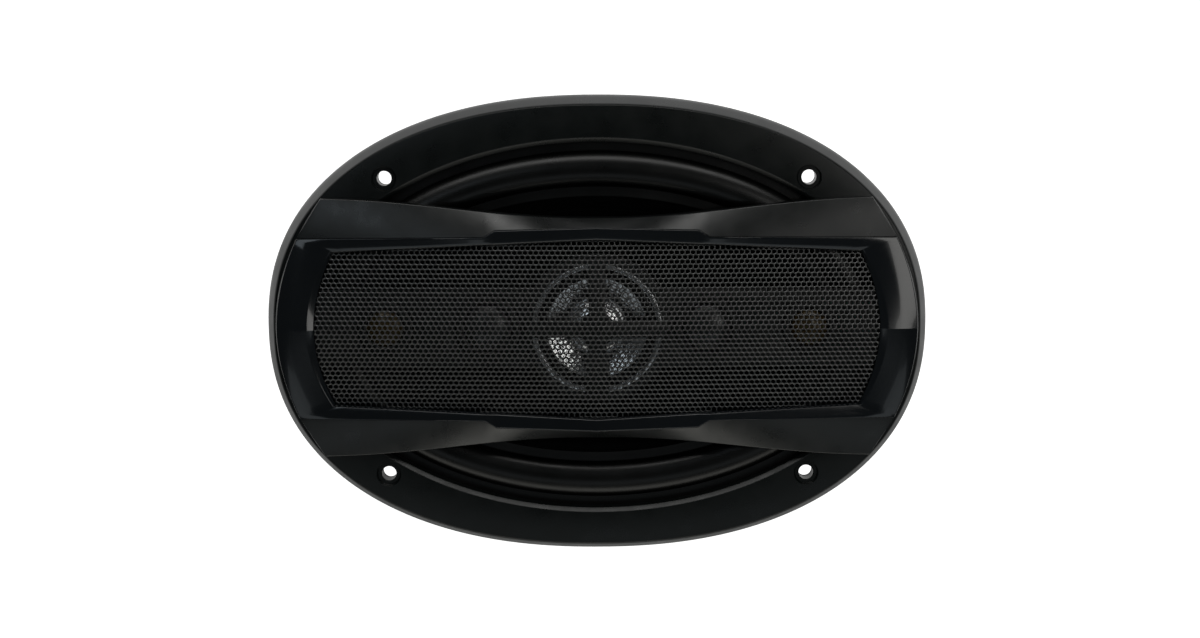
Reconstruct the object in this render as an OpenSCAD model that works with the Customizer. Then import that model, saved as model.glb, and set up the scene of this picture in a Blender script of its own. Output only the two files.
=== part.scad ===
// Oval coaxial car speaker, lying on its magnet with the grille facing up.
// Origin: on the speaker's axis, at the mounting plane (the gasket's rear face).
// +Z: the way the speaker faces. +X: the long axis of the oval.

/* [Overall size] */
// Length of the trim ring, along the oval's long axis
speaker_l = 240; // [200:1:288]
// Width of the trim ring, along the oval's short axis
speaker_w = 167; // [139:0.5:201]
// Height of the trim ring's front face above the mounting plane
ring_face = 9; // [8:0.5:12]
// Squareness of the ring's outline, 2 being a true ellipse
ring_power = 2.24; // [2:0.02:2.5]

/* [Rim and mounting holes] */
// Width of the trim ring at the ends of the oval
rim_end = 15.5; // [14:0.5:19]
// Width of the trim ring at the sides of the oval
rim_side = 16.7; // [14.5:0.05:20]
// Distance of the screw holes from the ends of the oval
hole_back = 43.8; // [42:0.1:46]
// Distance of the screw holes from the sides of the oval
hole_in = 29.5; // [28:0.05:31]
// Diameter of the screw holes
hole_d = 5.3; // [4.2:0.1:6]
// Diameter of the recess for each screw head
recess_d = 8.6; // [7.6:0.1:10]
// Depth of the recess for each screw head
recess_depth = 1.6; // [0.8:0.1:2.4]
// Thickness of the foam gasket behind the flange
gasket_t = 1.5; // [1:0.1:2]
// Thickness of the steel basket
steel_t = 1.2; // [0.8:0.1:1.4]
// Thickness of the ring's skirt around the flange
skirt_t = 1.3; // [1:0.1:2]

/* [Woofer] */
// Width of the surround's roll
roll_w = 12.4; // [10:0.1:15]
// Height of the surround's roll
roll_h = 4.1; // [3:0.1:4.5]
// Thickness of the rubber surround
rubber_t = 0.8; // [0.5:0.1:1]
// Width of the surround's glued edges
glue_w = 4; // [3:0.1:5]
// Thickness of the paper cone
cone_t = 0.9; // [0.6:0.1:1.4]
// Depth from the cone's rim to its neck
cone_depth = 33.7; // [28:0.1:38]
// Inside radius of the voice coil former
former_r = 14.85; // [12.4:0.05:17.8]
// Wall of the voice coil former
former_t = 0.25; // [0.2:0.05:0.3]
// Thickness of the wire wound on the former
wire_t = 0.7; // [0.4:0.05:0.9]
// Height of the winding
winding_h = 12; // [10:0.5:14]

/* [Motor] */
// Outside radius of the ferrite magnet
magnet_r = 45; // [40:0.5:54]
// Thickness of the ferrite magnet
magnet_h = 16; // [12:0.5:20]
// Thickness of the top plate
top_plate_h = 6; // [5:0.5:8]
// Thickness of the back plate
back_plate_h = 6; // [5:0.5:8]
// Radius of the vent through the pole
vent_r = 5; // [3:0.5:7]
// Thickness of the rubber boot over the magnet
boot_t = 1.6; // [1.2:0.1:2.5]
// Radius of the spider's glued outer edge
spider_r = 43.5; // [40:0.5:48]
// Depth of the basket below the spider's shelf
well_h = 10; // [8:0.5:12]

/* [Bridge and small drivers] */
// Thickness of the bridge's plate
bridge_t = 1.5; // [1.2:0.1:1.5]
// Width of the bridge's plate
bridge_w = 28; // [24:1:32]
// Outside radius of the midrange frame
midrange_r = 26.5; // [22.5:0.5:27]
// Outside radius of the inner tweeters
tweeter_r = 11.8; // [10:0.1:14]
// Outside radius of the outer tweeters
super_r = 10; // [8:0.1:11]
// Gap between the midrange and the inner tweeters
driver_gap = 1.2; // [0.6:0.1:3]
// Radius of both capacitors
capacitor_r = 4; // [3:0.1:4]
// Length of both capacitors
capacitor_l = 20; // [16:1:26]

/* [Grille] */
// Half the width of the matte band at mid-length
band_mid = 40.2; // [39:0.1:44]
// Distance of the band's corners from the ends of the oval
band_back = 21; // [18:0.5:26]
// Height of the gloss trim above the ring's face at mid-length
crest_h = 8.2; // [7.5:0.1:11]
// Height of the mesh's ridge above the ring's face at mid-length
ridge_h = 10; // [9:0.5:12]
// Fall of the mesh from its ridge to its long edges
eave_fall = 3.2; // [2:0.1:4]
// Width of the gloss trim along the long sides
trim_w = 4.6; // [3.6:0.1:6]
// Width of the gloss trim at the ends
trim_end_w = 13.4; // [12:0.1:15]
// Thickness of the trim's walls
trim_wall = 1.2; // [0.8:0.1:1.4]
// Thickness of the perforated sheet
mesh_t = 0.8; // [0.5:0.1:1]

/* [Terminals] */
// Width of the terminal block
block_w = 26; // [22:1:30]
// Width of the positive blade
positive_w = 6.3; // [4.8:0.1:6.3]
// Width of the negative blade
negative_w = 4.8; // [2.8:0.1:4.8]
// Thickness of the blades
blade_t = 0.8; // [0.5:0.1:1]

/* [Hidden] */
$fn = 96;
OVAL_N = 64;             // points round an oval
END_N = 8;               // steps round an end of the grille
fit = 0.05;              // clearance between pieces that are fixed together
slack = 0.35;            // clearance round the voice coil

half_l = speaker_l / 2;
half_w = speaker_w / 2;
hole_x = half_l - hole_back;
hole_y = half_w - hole_in;
open_a = half_l - rim_end;               // the ring's opening, a true ellipse
open_b = half_w - rim_side;
lip = 1.7;                               // chamfer round the opening
lip_z = 1.4;                             // depth of that chamfer
face_in = 3.5;                           // how far the front face stands in from the side wall

flange_z = gasket_t;
flange_top = flange_z + steel_t;
glue_top = flange_top + rubber_t;

roll_a = open_a - 9.8;                   // middle line of the roll
roll_b = open_b - 9.8;
rim_a = roll_a - roll_w / 2;             // outer edge of the cone
rim_b = roll_b - roll_w / 2;
wall_a = roll_a + roll_w / 2 + 0.6;      // inside of the basket's wall, at the flange
wall_b = roll_b + roll_w / 2 + 0.6;
landing_a = wall_a + 6.2;                // outer edge of the surround
landing_b = wall_b + 6.2;

cone_top = flange_top;
neck_z = cone_top - cone_depth;
neck_r = former_r + former_t + fit;
cap_s = 0.88;                            // where on the cone the dust cap sits
cap_rise = 7.2;
cap_t = 0.6;

shelf_z = neck_z - 5.3;                  // top of the shelf that holds the spider
shelf_r = spider_r + 3.5;
well_r = spider_r - 6.5;
seat_z = shelf_z - well_h;               // top of the basket's bottom
motor_top = seat_z - steel_t;
gap_mid = motor_top - top_plate_h / 2;
magnet_top = motor_top - top_plate_h;
magnet_bottom = magnet_top - magnet_h;
back_z = magnet_bottom - back_plate_h;
boot_z = back_z - boot_t;
pole_r = former_r - slack;
plate_bore_r = former_r + former_t + wire_t + slack + fit;
plate_r = magnet_r - 2;
magnet_bore_r = plate_bore_r + 5.8;
rivet_at = 30;
rivet_r = 1.9;
rivet_head_r = 3.5;
rivet_head_h = 1.2;
rivet_depth = 3;

window_w = 22;
window_turns = [0, 36, 72, 108, 144, 180, 216, 252, 288, 324];
window_low = shelf_z + 6.3;
knee_z = flange_z - 7.5;                 // below here the basket's wall slopes in
window_high = knee_z - 1;

block_d = 7.5;
block_h = 6;
tab_z = shelf_z - 0.1;                   // top of the tab that carries the terminal block
wall_low_y = wall_b - 2 + steel_t;       // outside of the sloping wall at its top, beside the terminals
wall_out_y = mix(shelf_r, wall_low_y, (block_h + steel_t - 0.1) / (knee_z - shelf_z + steel_t));
block_y = wall_out_y + 1.9;              // inner face of the terminal block, clear of the sloping wall
blade_x = 6;
blade_out = 8;
blade_in = 7;
terminal_rivet_r = 1.1;
terminal_rivet_x = block_w / 2 - 2;
terminal_head_h = 0.7;
lead_d = 1.4;

bridge_z = ring_face + 0.4;
bridge_top = bridge_z + bridge_t;
bridge_end = half_l - 10;
screw_x = open_a + 2.7;
screw_y = 8;
screw_r = 1.3;
screw_head_r = 2.6;
screw_head_h = 1.3;
screw_tip = glue_top + 0.9;

mid_hole_r = midrange_r - 2.3;
mid_wall = 1;
mid_ledge_r = midrange_r - 4;            // inside of the midrange's front ring
mid_rim_r = midrange_r - 7.7;            // outer edge of the small cone
mid_rim_top = bridge_top + 1.6;
mid_floor = ring_face - 8.2;             // underside of the midrange frame
mid_coil_r = 6.3;
mid_coil_t = 0.3;
mid_slack = 0.5;

tweeter_x = midrange_r + driver_gap + tweeter_r;
tweeter_dome_r = tweeter_r - 3.2;
tweeter_floor = bridge_z - 11;
trim_end_x = half_l - 4.8;               // end of the gloss trim
mesh_end_x = trim_end_x - trim_end_w;    // end of the mesh
super_x = (tweeter_x + tweeter_r + mesh_end_x) / 2;
super_dome_r = super_r - 3.5;
roll_top = glue_top + roll_h;
super_over_roll = super_x + super_r > rim_a;
super_floor = super_over_roll ? max(bridge_z - 2, roll_top + 0.3) : bridge_z - 2;
capacitor_x = tweeter_x - tweeter_r + 0.8 - capacitor_r;
capacitor_z = ring_face - 9;

band_x = half_l - band_back;
trim_mid = band_mid - 3.4;               // half-width of the gloss trim at mid-length
trim_corner_x = half_l - 12.4;
trim_corner_y = 32.7;
shoulder_y = trim_mid - 3.5;             // half-width of the trim just past its notches
notch_x = 38.5;
notch_run = 5;
notch_step = 2.4;
mesh_corner_x = trim_corner_x - 12.8;
mesh_corner_y = trim_corner_y - 5.1;
mesh_mid = trim_mid - trim_w;
// heights above the ring's face
band_corner_h = 1.5;
band_mid_h = 3;
band_end_h = 0.9;
corner_h = 3.6;
trim_end_h = 5.4;
mesh_end_h = 5.6;
mesh_corner_h = 2.6;

// ---------- outlines and lofts ----------

function spow(v, e) = sign(v) * pow(abs(v), e);
function mix(a, b, t) = a + (b - a) * t;
function ease(t) = t <= 0 ? 0 : t >= 1 ? 1 : t * t * (3 - 2 * t);
function oval(a, b, p = 2) =
    [for (i = [0:OVAL_N - 1]) let (t = 360 * i / OVAL_N) [a * spow(cos(t), 2 / p), b * spow(sin(t), 2 / p)]];
function level(outline, z) = [for (p = outline) [p[0], p[1], z]];
function ring_outline(inset) = oval(half_l - inset, half_w - inset, ring_power);

// Half-width of the ring's front edge at x
function front_y(x) =
    (half_w - face_in) * pow(1 - pow(abs(x) / (half_l - face_in), ring_power), 1 / ring_power);

// A tube of any section bent into a ring: loops run anticlockwise, outer wall upwards first
module ring_loft(loops) {
    n = len(loops[0]);
    m = len(loops);
    polyhedron(
        points = [for (l = loops) each l],
        faces = [for (j = [0:m - 1], i = [0:n - 1])
            let (k = (j + 1) % m, e = (i + 1) % n)
            each [[j * n + i, k * n + e, j * n + e], [j * n + i, k * n + i, k * n + e]]]
    );
}

// A stack of loops from the bottom up, closed by a flat face at each end
module stack_loft(loops) {
    n = len(loops[0]);
    m = len(loops);
    polyhedron(
        points = [for (l = loops) each l],
        faces = concat(
            [[for (i = [0:n - 1]) i]],
            [[for (i = [n - 1:-1:0]) (m - 1) * n + i]],
            [for (j = [0:m - 2], i = [0:n - 1])
                let (e = (i + 1) % n)
                each [[j * n + i, (j + 1) * n + e, j * n + e], [j * n + i, (j + 1) * n + i, (j + 1) * n + e]]]
        )
    );
}

// A disc or washer, from r1 to r2 and from z1 to z2
module washer(r1, r2, z1, z2) {
    translate([0, 0, z1])
        difference() {
            cylinder(r = r2, h = z2 - z1);
            translate([0, 0, -1]) cylinder(r = r1, h = z2 - z1 + 2);
        }
}

module at_mounting_holes() {
    for (sx = [-1, 1], sy = [-1, 1]) translate([sx * hole_x, sy * hole_y, 0]) children();
}

module at_bridge_screws() {
    for (sx = [-1, 1], sy = [-1, 1]) translate([sx * screw_x, sy * screw_y, 0]) children();
}

// ---------- ring, gasket and basket ----------

module trim_ring() {
    color([0.05, 0.055, 0.06])
        difference() {
            ring_loft([
                level(ring_outline(0), 0.5),
                level(ring_outline(face_in * 0.12), ring_face * 0.28),
                level(ring_outline(face_in * 0.83), ring_face - 0.5),
                level(ring_outline(face_in), ring_face),
                level(oval(open_a + lip, open_b + lip), ring_face),
                level(oval(open_a, open_b), ring_face - lip_z),
                level(oval(open_a, open_b), glue_top + fit),
                level(oval(landing_a + 0.5, landing_b + 0.5), glue_top + fit),
                level(oval(landing_a + 0.5, landing_b + 0.5), flange_top),
                level(ring_outline(skirt_t), flange_top),
                level(ring_outline(skirt_t), 0.5)
            ]);
            at_mounting_holes() {
                translate([0, 0, -1]) cylinder(d = hole_d, h = ring_face + 2);
                translate([0, 0, ring_face - recess_depth]) cylinder(d = recess_d, h = recess_depth + 1);
            }
            at_bridge_screws() translate([0, 0, screw_tip - fit]) cylinder(r = screw_r + fit, h = ring_face);
        }
}

module mounting_gasket() {
    color([0.12, 0.12, 0.13])
        linear_extrude(gasket_t)
            difference() {
                polygon(ring_outline(skirt_t + 1.2));
                polygon(oval(wall_a + steel_t + 1.5, wall_b + steel_t + 1.5));
                at_mounting_holes() circle(d = hole_d);
            }
}

// The basket's pressed shell: flange, sloping wall, spider shelf, well and magnet seat
module basket_shell() {
    bore = plate_bore_r + 2.6;
    ring_loft([
        level(ring_outline(skirt_t + fit), flange_z),
        level(ring_outline(skirt_t + fit), flange_top),
        level(oval(wall_a, wall_b), flange_top),
        level(oval(wall_a - 3, wall_b - 2), knee_z),
        level(oval(shelf_r - steel_t, shelf_r - steel_t), shelf_z),
        level(oval(well_r, well_r), shelf_z),
        level(oval(well_r, well_r), seat_z),
        level(oval(bore, bore), seat_z),
        level(oval(bore, bore), motor_top),
        level(oval(well_r + steel_t, well_r + steel_t), motor_top),
        level(oval(well_r + steel_t, well_r + steel_t), shelf_z - steel_t),
        level(oval(shelf_r, shelf_r), shelf_z - steel_t),
        level(oval(wall_a - 3 + steel_t, wall_b - 2 + steel_t), knee_z),
        level(oval(wall_a + steel_t, wall_b + steel_t), flange_z)
    ]);
}

module at_plate_rivets() {
    for (i = [0:3]) rotate([0, 0, 45 + 90 * i]) translate([rivet_at, 0, 0]) children();
}

module basket() {
    color([0.16, 0.165, 0.17])
        difference() {
            union() {
                difference() {
                    basket_shell();
                    for (t = window_turns)
                        rotate([0, 0, atan2(sin(t) * (wall_b - 6), cos(t) * (wall_a - 26))])
                            translate([shelf_r - 22, -window_w / 2, window_low])
                                cube([half_l, window_w, window_high - window_low]);
                }
                translate([-block_w / 2, -block_y - block_d, tab_z - steel_t])
                    cube([block_w, block_y + block_d - shelf_r + 2.4, steel_t]);
            }
            at_mounting_holes() translate([0, 0, -1]) cylinder(d = hole_d, h = ring_face);
            at_plate_rivets() translate([0, 0, motor_top - 1]) cylinder(r = rivet_r + fit, h = steel_t + 2);
            terminal_rivet_holes();
        }
}

// ---------- woofer ----------

// The roll's middle line turned into its upper or lower face: offset and height
function roll_face(grow, from, to) =
    [for (i = [0:8]) let (t = mix(from, to, i / 8))
        [(roll_w / 2 + grow) * cos(t), flange_top + rubber_t / 2 + (roll_h + grow) * sin(t)]];

module surround() {
    half_t = rubber_t / 2;
    start = asin(half_t / (roll_h + half_t));    // where the roll's face leaves the flat
    outer_d = landing_a - roll_a;
    inner_d = -roll_w / 2 - glue_w;
    profile = concat(
        [[outer_d, flange_top], [outer_d, glue_top]],
        roll_face(half_t, start, 180 - start),
        [[inner_d, glue_top], [inner_d, flange_top]],
        roll_face(-half_t, 180, 0)
    );
    color([0.09, 0.09, 0.1])
        ring_loft([for (p = profile) level(oval(roll_a + p[0], roll_b + p[0]), p[1])]);
}

// The cone's section at s, from 0 at the rim's flat to 1 at the neck
function cone_a(s) = mix(rim_a - glue_w, neck_r, s);
function cone_b(s) = mix(rim_b - glue_w, neck_r, s);
function cone_z(s) = cone_top - cone_depth * s;

module woofer_cone() {
    steps = 6;
    color([0.06, 0.06, 0.065])
        ring_loft(concat(
            [level(oval(rim_a - 0.2, rim_b - 0.2), cone_top - cone_t)],
            [level(oval(rim_a - 0.2, rim_b - 0.2), cone_top)],
            [for (i = [0:steps]) let (s = i / steps) level(oval(cone_a(s), cone_b(s)), cone_z(s))],
            [for (i = [steps:-1:0]) let (s = i / steps) level(oval(cone_a(s), cone_b(s)), cone_z(s) - cone_t)]
        ));
}

// One loop of the dust cap: angle up its dome, and how far the face lies under the outer one
function cap_loop(angle, under) = level(
    oval((cone_a(cap_s) - under) * cos(angle), (cone_b(cap_s) - under) * cos(angle)),
    cone_z(cap_s) + fit + (cap_rise - under) * sin(angle));

module dust_cap() {
    steps = 5;
    top = 86;
    color([0.1, 0.1, 0.11])
        stack_loft(concat(
            [for (i = [steps:-1:0]) cap_loop(top * i / steps, cap_t)],
            [for (i = [0:steps]) cap_loop(top * i / steps, 0)]
        ));
}

module voice_coil_former() {
    color([0.62, 0.48, 0.2])
        washer(former_r, former_r + former_t, gap_mid - winding_h / 2 - 1, neck_z + 1.6);
}

module voice_coil_winding() {
    color([0.72, 0.4, 0.2])
        washer(former_r + former_t, former_r + former_t + wire_t, gap_mid - winding_h / 2, gap_mid + winding_h / 2);
}

module spider() {
    thick = 0.6;
    waves = 5;
    swing = 1.2;
    inner = neck_r + 2;
    outer = well_r - 0.4;
    steps = waves * 6;
    function wave(i) = swing * sin(360 * waves * i / steps);
    mid_z = shelf_z + thick / 2;
    color([0.75, 0.6, 0.3])
        rotate_extrude()
            polygon(concat(
                [[neck_r, mid_z - thick / 2], [neck_r, mid_z + thick / 2]],
                [for (i = [0:steps]) [mix(inner, outer, i / steps), mid_z + thick / 2 + wave(i)]],
                [[spider_r, mid_z + thick / 2], [spider_r, mid_z - thick / 2]],
                [for (i = [steps:-1:0]) [mix(inner, outer, i / steps), mid_z - thick / 2 + wave(i)]]
            ));
}

// ---------- motor ----------

module top_plate() {
    color([0.55, 0.56, 0.58])
        difference() {
            washer(plate_bore_r, plate_r, magnet_top, motor_top);
            at_plate_rivets() translate([0, 0, motor_top - rivet_depth - fit]) cylinder(r = rivet_r + fit, h = 9);
        }
}

module magnet() {
    color([0.2, 0.2, 0.21]) washer(magnet_bore_r, magnet_r, magnet_bottom, magnet_top);
}

module back_plate() {
    color([0.55, 0.56, 0.58])
        difference() {
            union() {
                translate([0, 0, back_z]) cylinder(r = plate_r - 1, h = back_plate_h);
                translate([0, 0, back_z + 1]) cylinder(r = pole_r, h = motor_top - back_z - 1);
            }
            translate([0, 0, back_z - 1]) cylinder(r = vent_r, h = motor_top - back_z + 2);
        }
}

module magnet_boot() {
    color([0.07, 0.07, 0.075])
        rotate_extrude()
            polygon([
                [vent_r + 7, boot_z], [magnet_r + boot_t - 2, boot_z], [magnet_r + boot_t, boot_z + 2],
                [magnet_r + boot_t, magnet_top - 0.8], [magnet_r + fit, magnet_top - 0.8],
                [magnet_r + fit, magnet_bottom - fit], [plate_r - 1 + fit, magnet_bottom - fit],
                [plate_r - 1 + fit, back_z], [vent_r + 7, back_z]
            ]);
}

module plate_rivets() {
    color([0.75, 0.76, 0.78])
        at_plate_rivets() {
            translate([0, 0, motor_top - rivet_depth]) cylinder(r = rivet_r, h = rivet_depth + steel_t + 0.2);
            translate([0, 0, seat_z]) cylinder(r1 = rivet_head_r, r2 = rivet_head_r - 1, h = rivet_head_h);
        }
}

// ---------- terminals and leads ----------

module blade_slot(width, x, grow) {
    translate([x - width / 2 - grow, -block_y - block_d - blade_out, tab_z + block_h / 2 - blade_t / 2 - grow])
        cube([width + 2 * grow, blade_out + blade_in, blade_t + 2 * grow]);
}

module at_terminal_rivets() {
    for (sx = [-1, 1]) translate([sx * terminal_rivet_x, -block_y - block_d / 2, 0]) children();
}

module terminal_rivet_holes() {
    at_terminal_rivets() translate([0, 0, tab_z - steel_t - 1])
        cylinder(r = terminal_rivet_r + fit, h = steel_t + block_h + 2);
}

module terminal_block() {
    color([0.08, 0.08, 0.085])
        difference() {
            translate([-block_w / 2, -block_y - block_d, tab_z]) cube([block_w, block_d, block_h]);
            blade_slot(positive_w, blade_x, fit);
            blade_slot(negative_w, -blade_x, fit);
            terminal_rivet_holes();
        }
}

module terminal_positive() {
    color([0.85, 0.65, 0.25]) blade_slot(positive_w, blade_x, 0);
}

module terminal_negative() {
    color([0.85, 0.65, 0.25]) blade_slot(negative_w, -blade_x, 0);
}

module terminal_rivets() {
    bottom = tab_z - steel_t;
    top = tab_z + block_h;
    color([0.75, 0.76, 0.78])
        at_terminal_rivets() {
            translate([0, 0, bottom - terminal_head_h])
                cylinder(r = terminal_rivet_r, h = top - bottom + 2 * terminal_head_h);
            translate([0, 0, bottom - terminal_head_h]) cylinder(r = terminal_rivet_r + 0.8, h = terminal_head_h);
            translate([0, 0, top]) cylinder(r = terminal_rivet_r + 0.8, h = terminal_head_h);
        }
}

// The points that a tinsel lead passes, from the terminal block to the back of the cone
lead_points = [
    [6, -55.5, -30.2], [6, -55.5, -29], [8, -56, -27], [11, -56.5, -25], [14.5, -55.5, -24], [16.5, -53, -23],
    [17, -49, -22.5], [16.5, -45, -22], [15.5, -41, -21], [14.5, -37, -19], [13.5, -33.5, -16.5], [13, -31.5, -15.2]
];

function unit(v) = v / norm(v);

// Rings of a tube along points, each square to the way it runs
function tube_rings(points, r, sides) = [
    for (i = [0:len(points) - 1])
        let (
            ahead = points[min(i + 1, len(points) - 1)],
            behind = points[max(i - 1, 0)],
            way = unit(ahead - behind),
            side = unit(cross(way, [1, 0.2, 0.3])),
            up = cross(way, side)
        )
        [for (k = [0:sides - 1]) points[i] + r * (cos(360 * k / sides) * side + sin(360 * k / sides) * up)]
];

module tinsel_lead(s) {
    color([0.8, 0.55, 0.3])
        stack_loft(tube_rings([for (p = lead_points) [s * p[0], p[1], p[2]]], lead_d / 2, 8));
}

module tinsel_lead_positive() {
    tinsel_lead(1);
}

module tinsel_lead_negative() {
    tinsel_lead(-1);
}

// ---------- bridge ----------

module tweeter_bridge() {
    color([0.07, 0.07, 0.075]) {
        difference() {
            union() {
                translate([0, 0, bridge_z])
                    linear_extrude(bridge_t) {
                        square([2 * bridge_end, bridge_w], center = true);
                        circle(r = midrange_r + 0.5);
                    }
                for (s = [-1, 1])
                    translate([s * screw_x - 2.4, -bridge_w / 2, ring_face]) cube([4.8, bridge_w, 0.6]);
                for (sx = [-1, 1], sy = [-1, 1])
                    translate([sx * capacitor_x - 1, sy * 8.6 - 1.2, capacitor_z + capacitor_r - 0.3])
                        cube([2, 2.4, bridge_z - capacitor_z - capacitor_r + 0.6]);
            }
            translate([0, 0, ring_face - 9]) {
                cylinder(r = mid_hole_r, h = 30);
                for (s = [-1, 1]) {
                    translate([s * tweeter_x, 0, 0]) cylinder(r = tweeter_r - 1.2, h = 30);
                    translate([s * super_x, 0, 0]) cylinder(r = super_r - 1.2, h = 30);
                }
            }
            for (s = [-1, 1]) capacitor_body(s, fit);
            at_bridge_screws() {
                translate([0, 0, ring_face - 1]) cylinder(r = screw_r + fit, h = 9);
                translate([0, 0, bridge_top - screw_head_h])
                    cylinder(r1 = screw_r + fit, r2 = screw_head_r + fit, h = screw_head_h);
            }
        }
    }
}

module bridge_screws() {
    color([0.3, 0.3, 0.32])
        at_bridge_screws() {
            translate([0, 0, screw_tip]) cylinder(r = screw_r, h = bridge_top - screw_tip);
            translate([0, 0, bridge_top - screw_head_h])
                cylinder(r1 = screw_r, r2 = screw_head_r, h = screw_head_h);
        }
}

// ---------- midrange ----------

mid_ledge_z = bridge_top - 0.4;
mid_out_r = mid_hole_r - 0.15;
mid_base_r = 17;
mid_bore_r = mid_coil_r + mid_coil_t + mid_slack + 0.2;
mid_plate_h = 1.8;
mid_magnet_h = 4;
mid_yoke_h = 2;
mid_skin = 0.5;
mid_cone_z = mid_ledge_z - 5.5;
mid_dome_r = 10;

module midrange_frame() {
    waist_z = bridge_z - 1.4;
    taper_z = bridge_z - 4.8;
    color([0.07, 0.07, 0.075])
        rotate_extrude()
            polygon([
                [mid_out_r, bridge_top], [midrange_r, bridge_top], [midrange_r, mid_rim_top - 0.5],
                [midrange_r - 0.5, mid_rim_top], [mid_ledge_r, mid_rim_top], [mid_ledge_r, mid_ledge_z],
                [mid_ledge_r - 1.6, mid_ledge_z], [mid_ledge_r - 1.6, mid_ledge_z - mid_wall],
                [mid_out_r - mid_wall, mid_ledge_z - mid_wall], [mid_out_r - mid_wall, waist_z],
                [mid_base_r - mid_wall, taper_z], [mid_base_r - mid_wall, mid_floor + mid_wall],
                [mid_bore_r, mid_floor + mid_wall], [mid_bore_r, mid_floor], [mid_base_r, mid_floor],
                [mid_base_r, taper_z], [mid_out_r, waist_z]
            ]);
}

module midrange_surround() {
    from_r = mid_ledge_r - 1.5;
    to_r = mid_rim_r + 0.2;
    half = (from_r - to_r) / 2;
    color([0.08, 0.08, 0.085])
        rotate_extrude()
            polygon(concat(
                [[mid_ledge_r - fit, mid_ledge_z], [mid_ledge_r - fit, mid_ledge_z + mid_skin]],
                [for (i = [1:7]) let (t = 22.5 * i)
                    [(from_r + to_r) / 2 + half * cos(t), mid_ledge_z + mid_skin + 1.1 * sin(t)]],
                [[to_r - 0.8, mid_ledge_z + mid_skin], [to_r - 0.8, mid_ledge_z], [to_r + 0.3, mid_ledge_z]],
                [for (i = [6:-1:2]) let (t = 22.5 * i)
                    [(from_r + to_r) / 2 + (half - 0.4) * cos(t), mid_ledge_z + 1.1 * sin(t)]],
                [[from_r - 0.3, mid_ledge_z]]
            ));
}

module midrange_cone() {
    color([0.75, 0.76, 0.78])
        rotate_extrude()
            polygon([
                [mid_rim_r, mid_ledge_z], [mid_rim_r - 0.8, mid_ledge_z],
                [mid_coil_r + mid_coil_t + fit, mid_cone_z + mid_skin], [mid_coil_r + mid_coil_t + fit, mid_cone_z],
                [mid_rim_r - 0.6, mid_ledge_z - mid_skin], [mid_rim_r, mid_ledge_z - mid_skin]
            ]);
}

module midrange_dome() {
    base_z = mix(mid_cone_z + mid_skin, mid_ledge_z, (mid_dome_r - mid_coil_r) / (mid_rim_r - mid_coil_r)) + 0.3;
    color([0.8, 0.81, 0.83])
        rotate_extrude()
            polygon(concat(
                [for (i = [0:8]) let (t = 90 * i / 8) [mid_dome_r * cos(t), base_z + 3 * sin(t)]],
                [for (i = [8:-1:0]) let (t = 90 * i / 8)
                    [(mid_dome_r - mid_skin) * cos(t), base_z + (3 - mid_skin) * sin(t)]]
            ));
}

module midrange_coil() {
    color([0.72, 0.4, 0.2])
        washer(mid_coil_r, mid_coil_r + mid_coil_t, mid_floor - 4.2, mid_cone_z + mid_skin);
}

module midrange_plate() {
    color([0.55, 0.56, 0.58]) washer(mid_bore_r, mid_base_r - 3, mid_floor - mid_plate_h, mid_floor);
}

module midrange_magnet() {
    top = mid_floor - mid_plate_h;
    color([0.2, 0.2, 0.21]) washer(mid_bore_r + 1.2, mid_base_r - 2, top - mid_magnet_h, top);
}

module midrange_yoke() {
    top = mid_floor - mid_plate_h - mid_magnet_h;
    color([0.55, 0.56, 0.58]) {
        translate([0, 0, top - mid_yoke_h]) cylinder(r = mid_base_r - 3, h = mid_yoke_h);
        translate([0, 0, top - 1]) cylinder(r = mid_coil_r - mid_slack, h = mid_floor - top + 1);
    }
}

module midrange_ring() {
    color([0.85, 0.86, 0.88])
        rotate_extrude()
            polygon([
                [mid_ledge_r - 1.1, mid_rim_top], [mid_ledge_r + 1.4, mid_rim_top],
                [mid_ledge_r + 0.9, mid_rim_top + 0.7], [mid_ledge_r - 0.6, mid_rim_top + 0.7]
            ]);
}

module midrange_guard() {
    arm_w = 6;
    foot_w = 9;
    reach = midrange_r - 0.8;
    guard_z = mid_rim_top + 0.7;
    guard_t = 1.2;
    color([0.05, 0.05, 0.055]) {
        translate([0, 0, guard_z])
            linear_extrude(guard_t) {
                square([2 * reach, arm_w], center = true);
                translate([-arm_w / 2, 0]) square([arm_w, reach]);
                polygon([[-arm_w / 2, 0], [arm_w / 2, 0], [foot_w / 2, -reach], [-foot_w / 2, -reach]]);
                circle(r = 6.5);
            }
        for (i = [0:3])
            rotate([0, 0, 90 * i])
                translate([reach - 1.6, -arm_w / 2, mid_rim_top]) cube([1.6, arm_w, 0.8]);
    }
}

// ---------- small tweeters ----------

module driver_cup(r, dome_r, floor_z, hood) {
    out = r - 1.35;
    color([0.07, 0.07, 0.075])
        rotate_extrude()
            polygon([
                [0, floor_z], [out, floor_z], [out, bridge_top], [r, bridge_top], [r, bridge_top + hood * 0.6],
                [r - 0.6, bridge_top + hood], [dome_r + 0.8, bridge_top + hood], [dome_r + 0.3, bridge_top],
                [dome_r + 0.3, bridge_top - 1], [out - 1, bridge_top - 1], [out - 1, floor_z + 1], [0, floor_z + 1]
            ]);
}

module driver_dome(dome_r, rise, tint) {
    skin = 0.4;
    base_z = bridge_top - 0.3;
    color(tint)
        rotate_extrude()
            polygon(concat(
                [for (i = [0:8]) let (t = 90 * i / 8) [dome_r * cos(t), base_z + rise * sin(t)]],
                [for (i = [8:-1:0]) let (t = 90 * i / 8) [(dome_r - skin) * cos(t), base_z + (rise - skin) * sin(t)]]
            ));
}

module driver_motor(r, floor_z) {
    top = bridge_top - 1.3;
    color([0.55, 0.56, 0.58])
        rotate_extrude()
            polygon([
                [0, floor_z + 1], [r, floor_z + 1], [r, top - 0.6], [r - 0.6, top], [0, top]
            ]);
}

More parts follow.
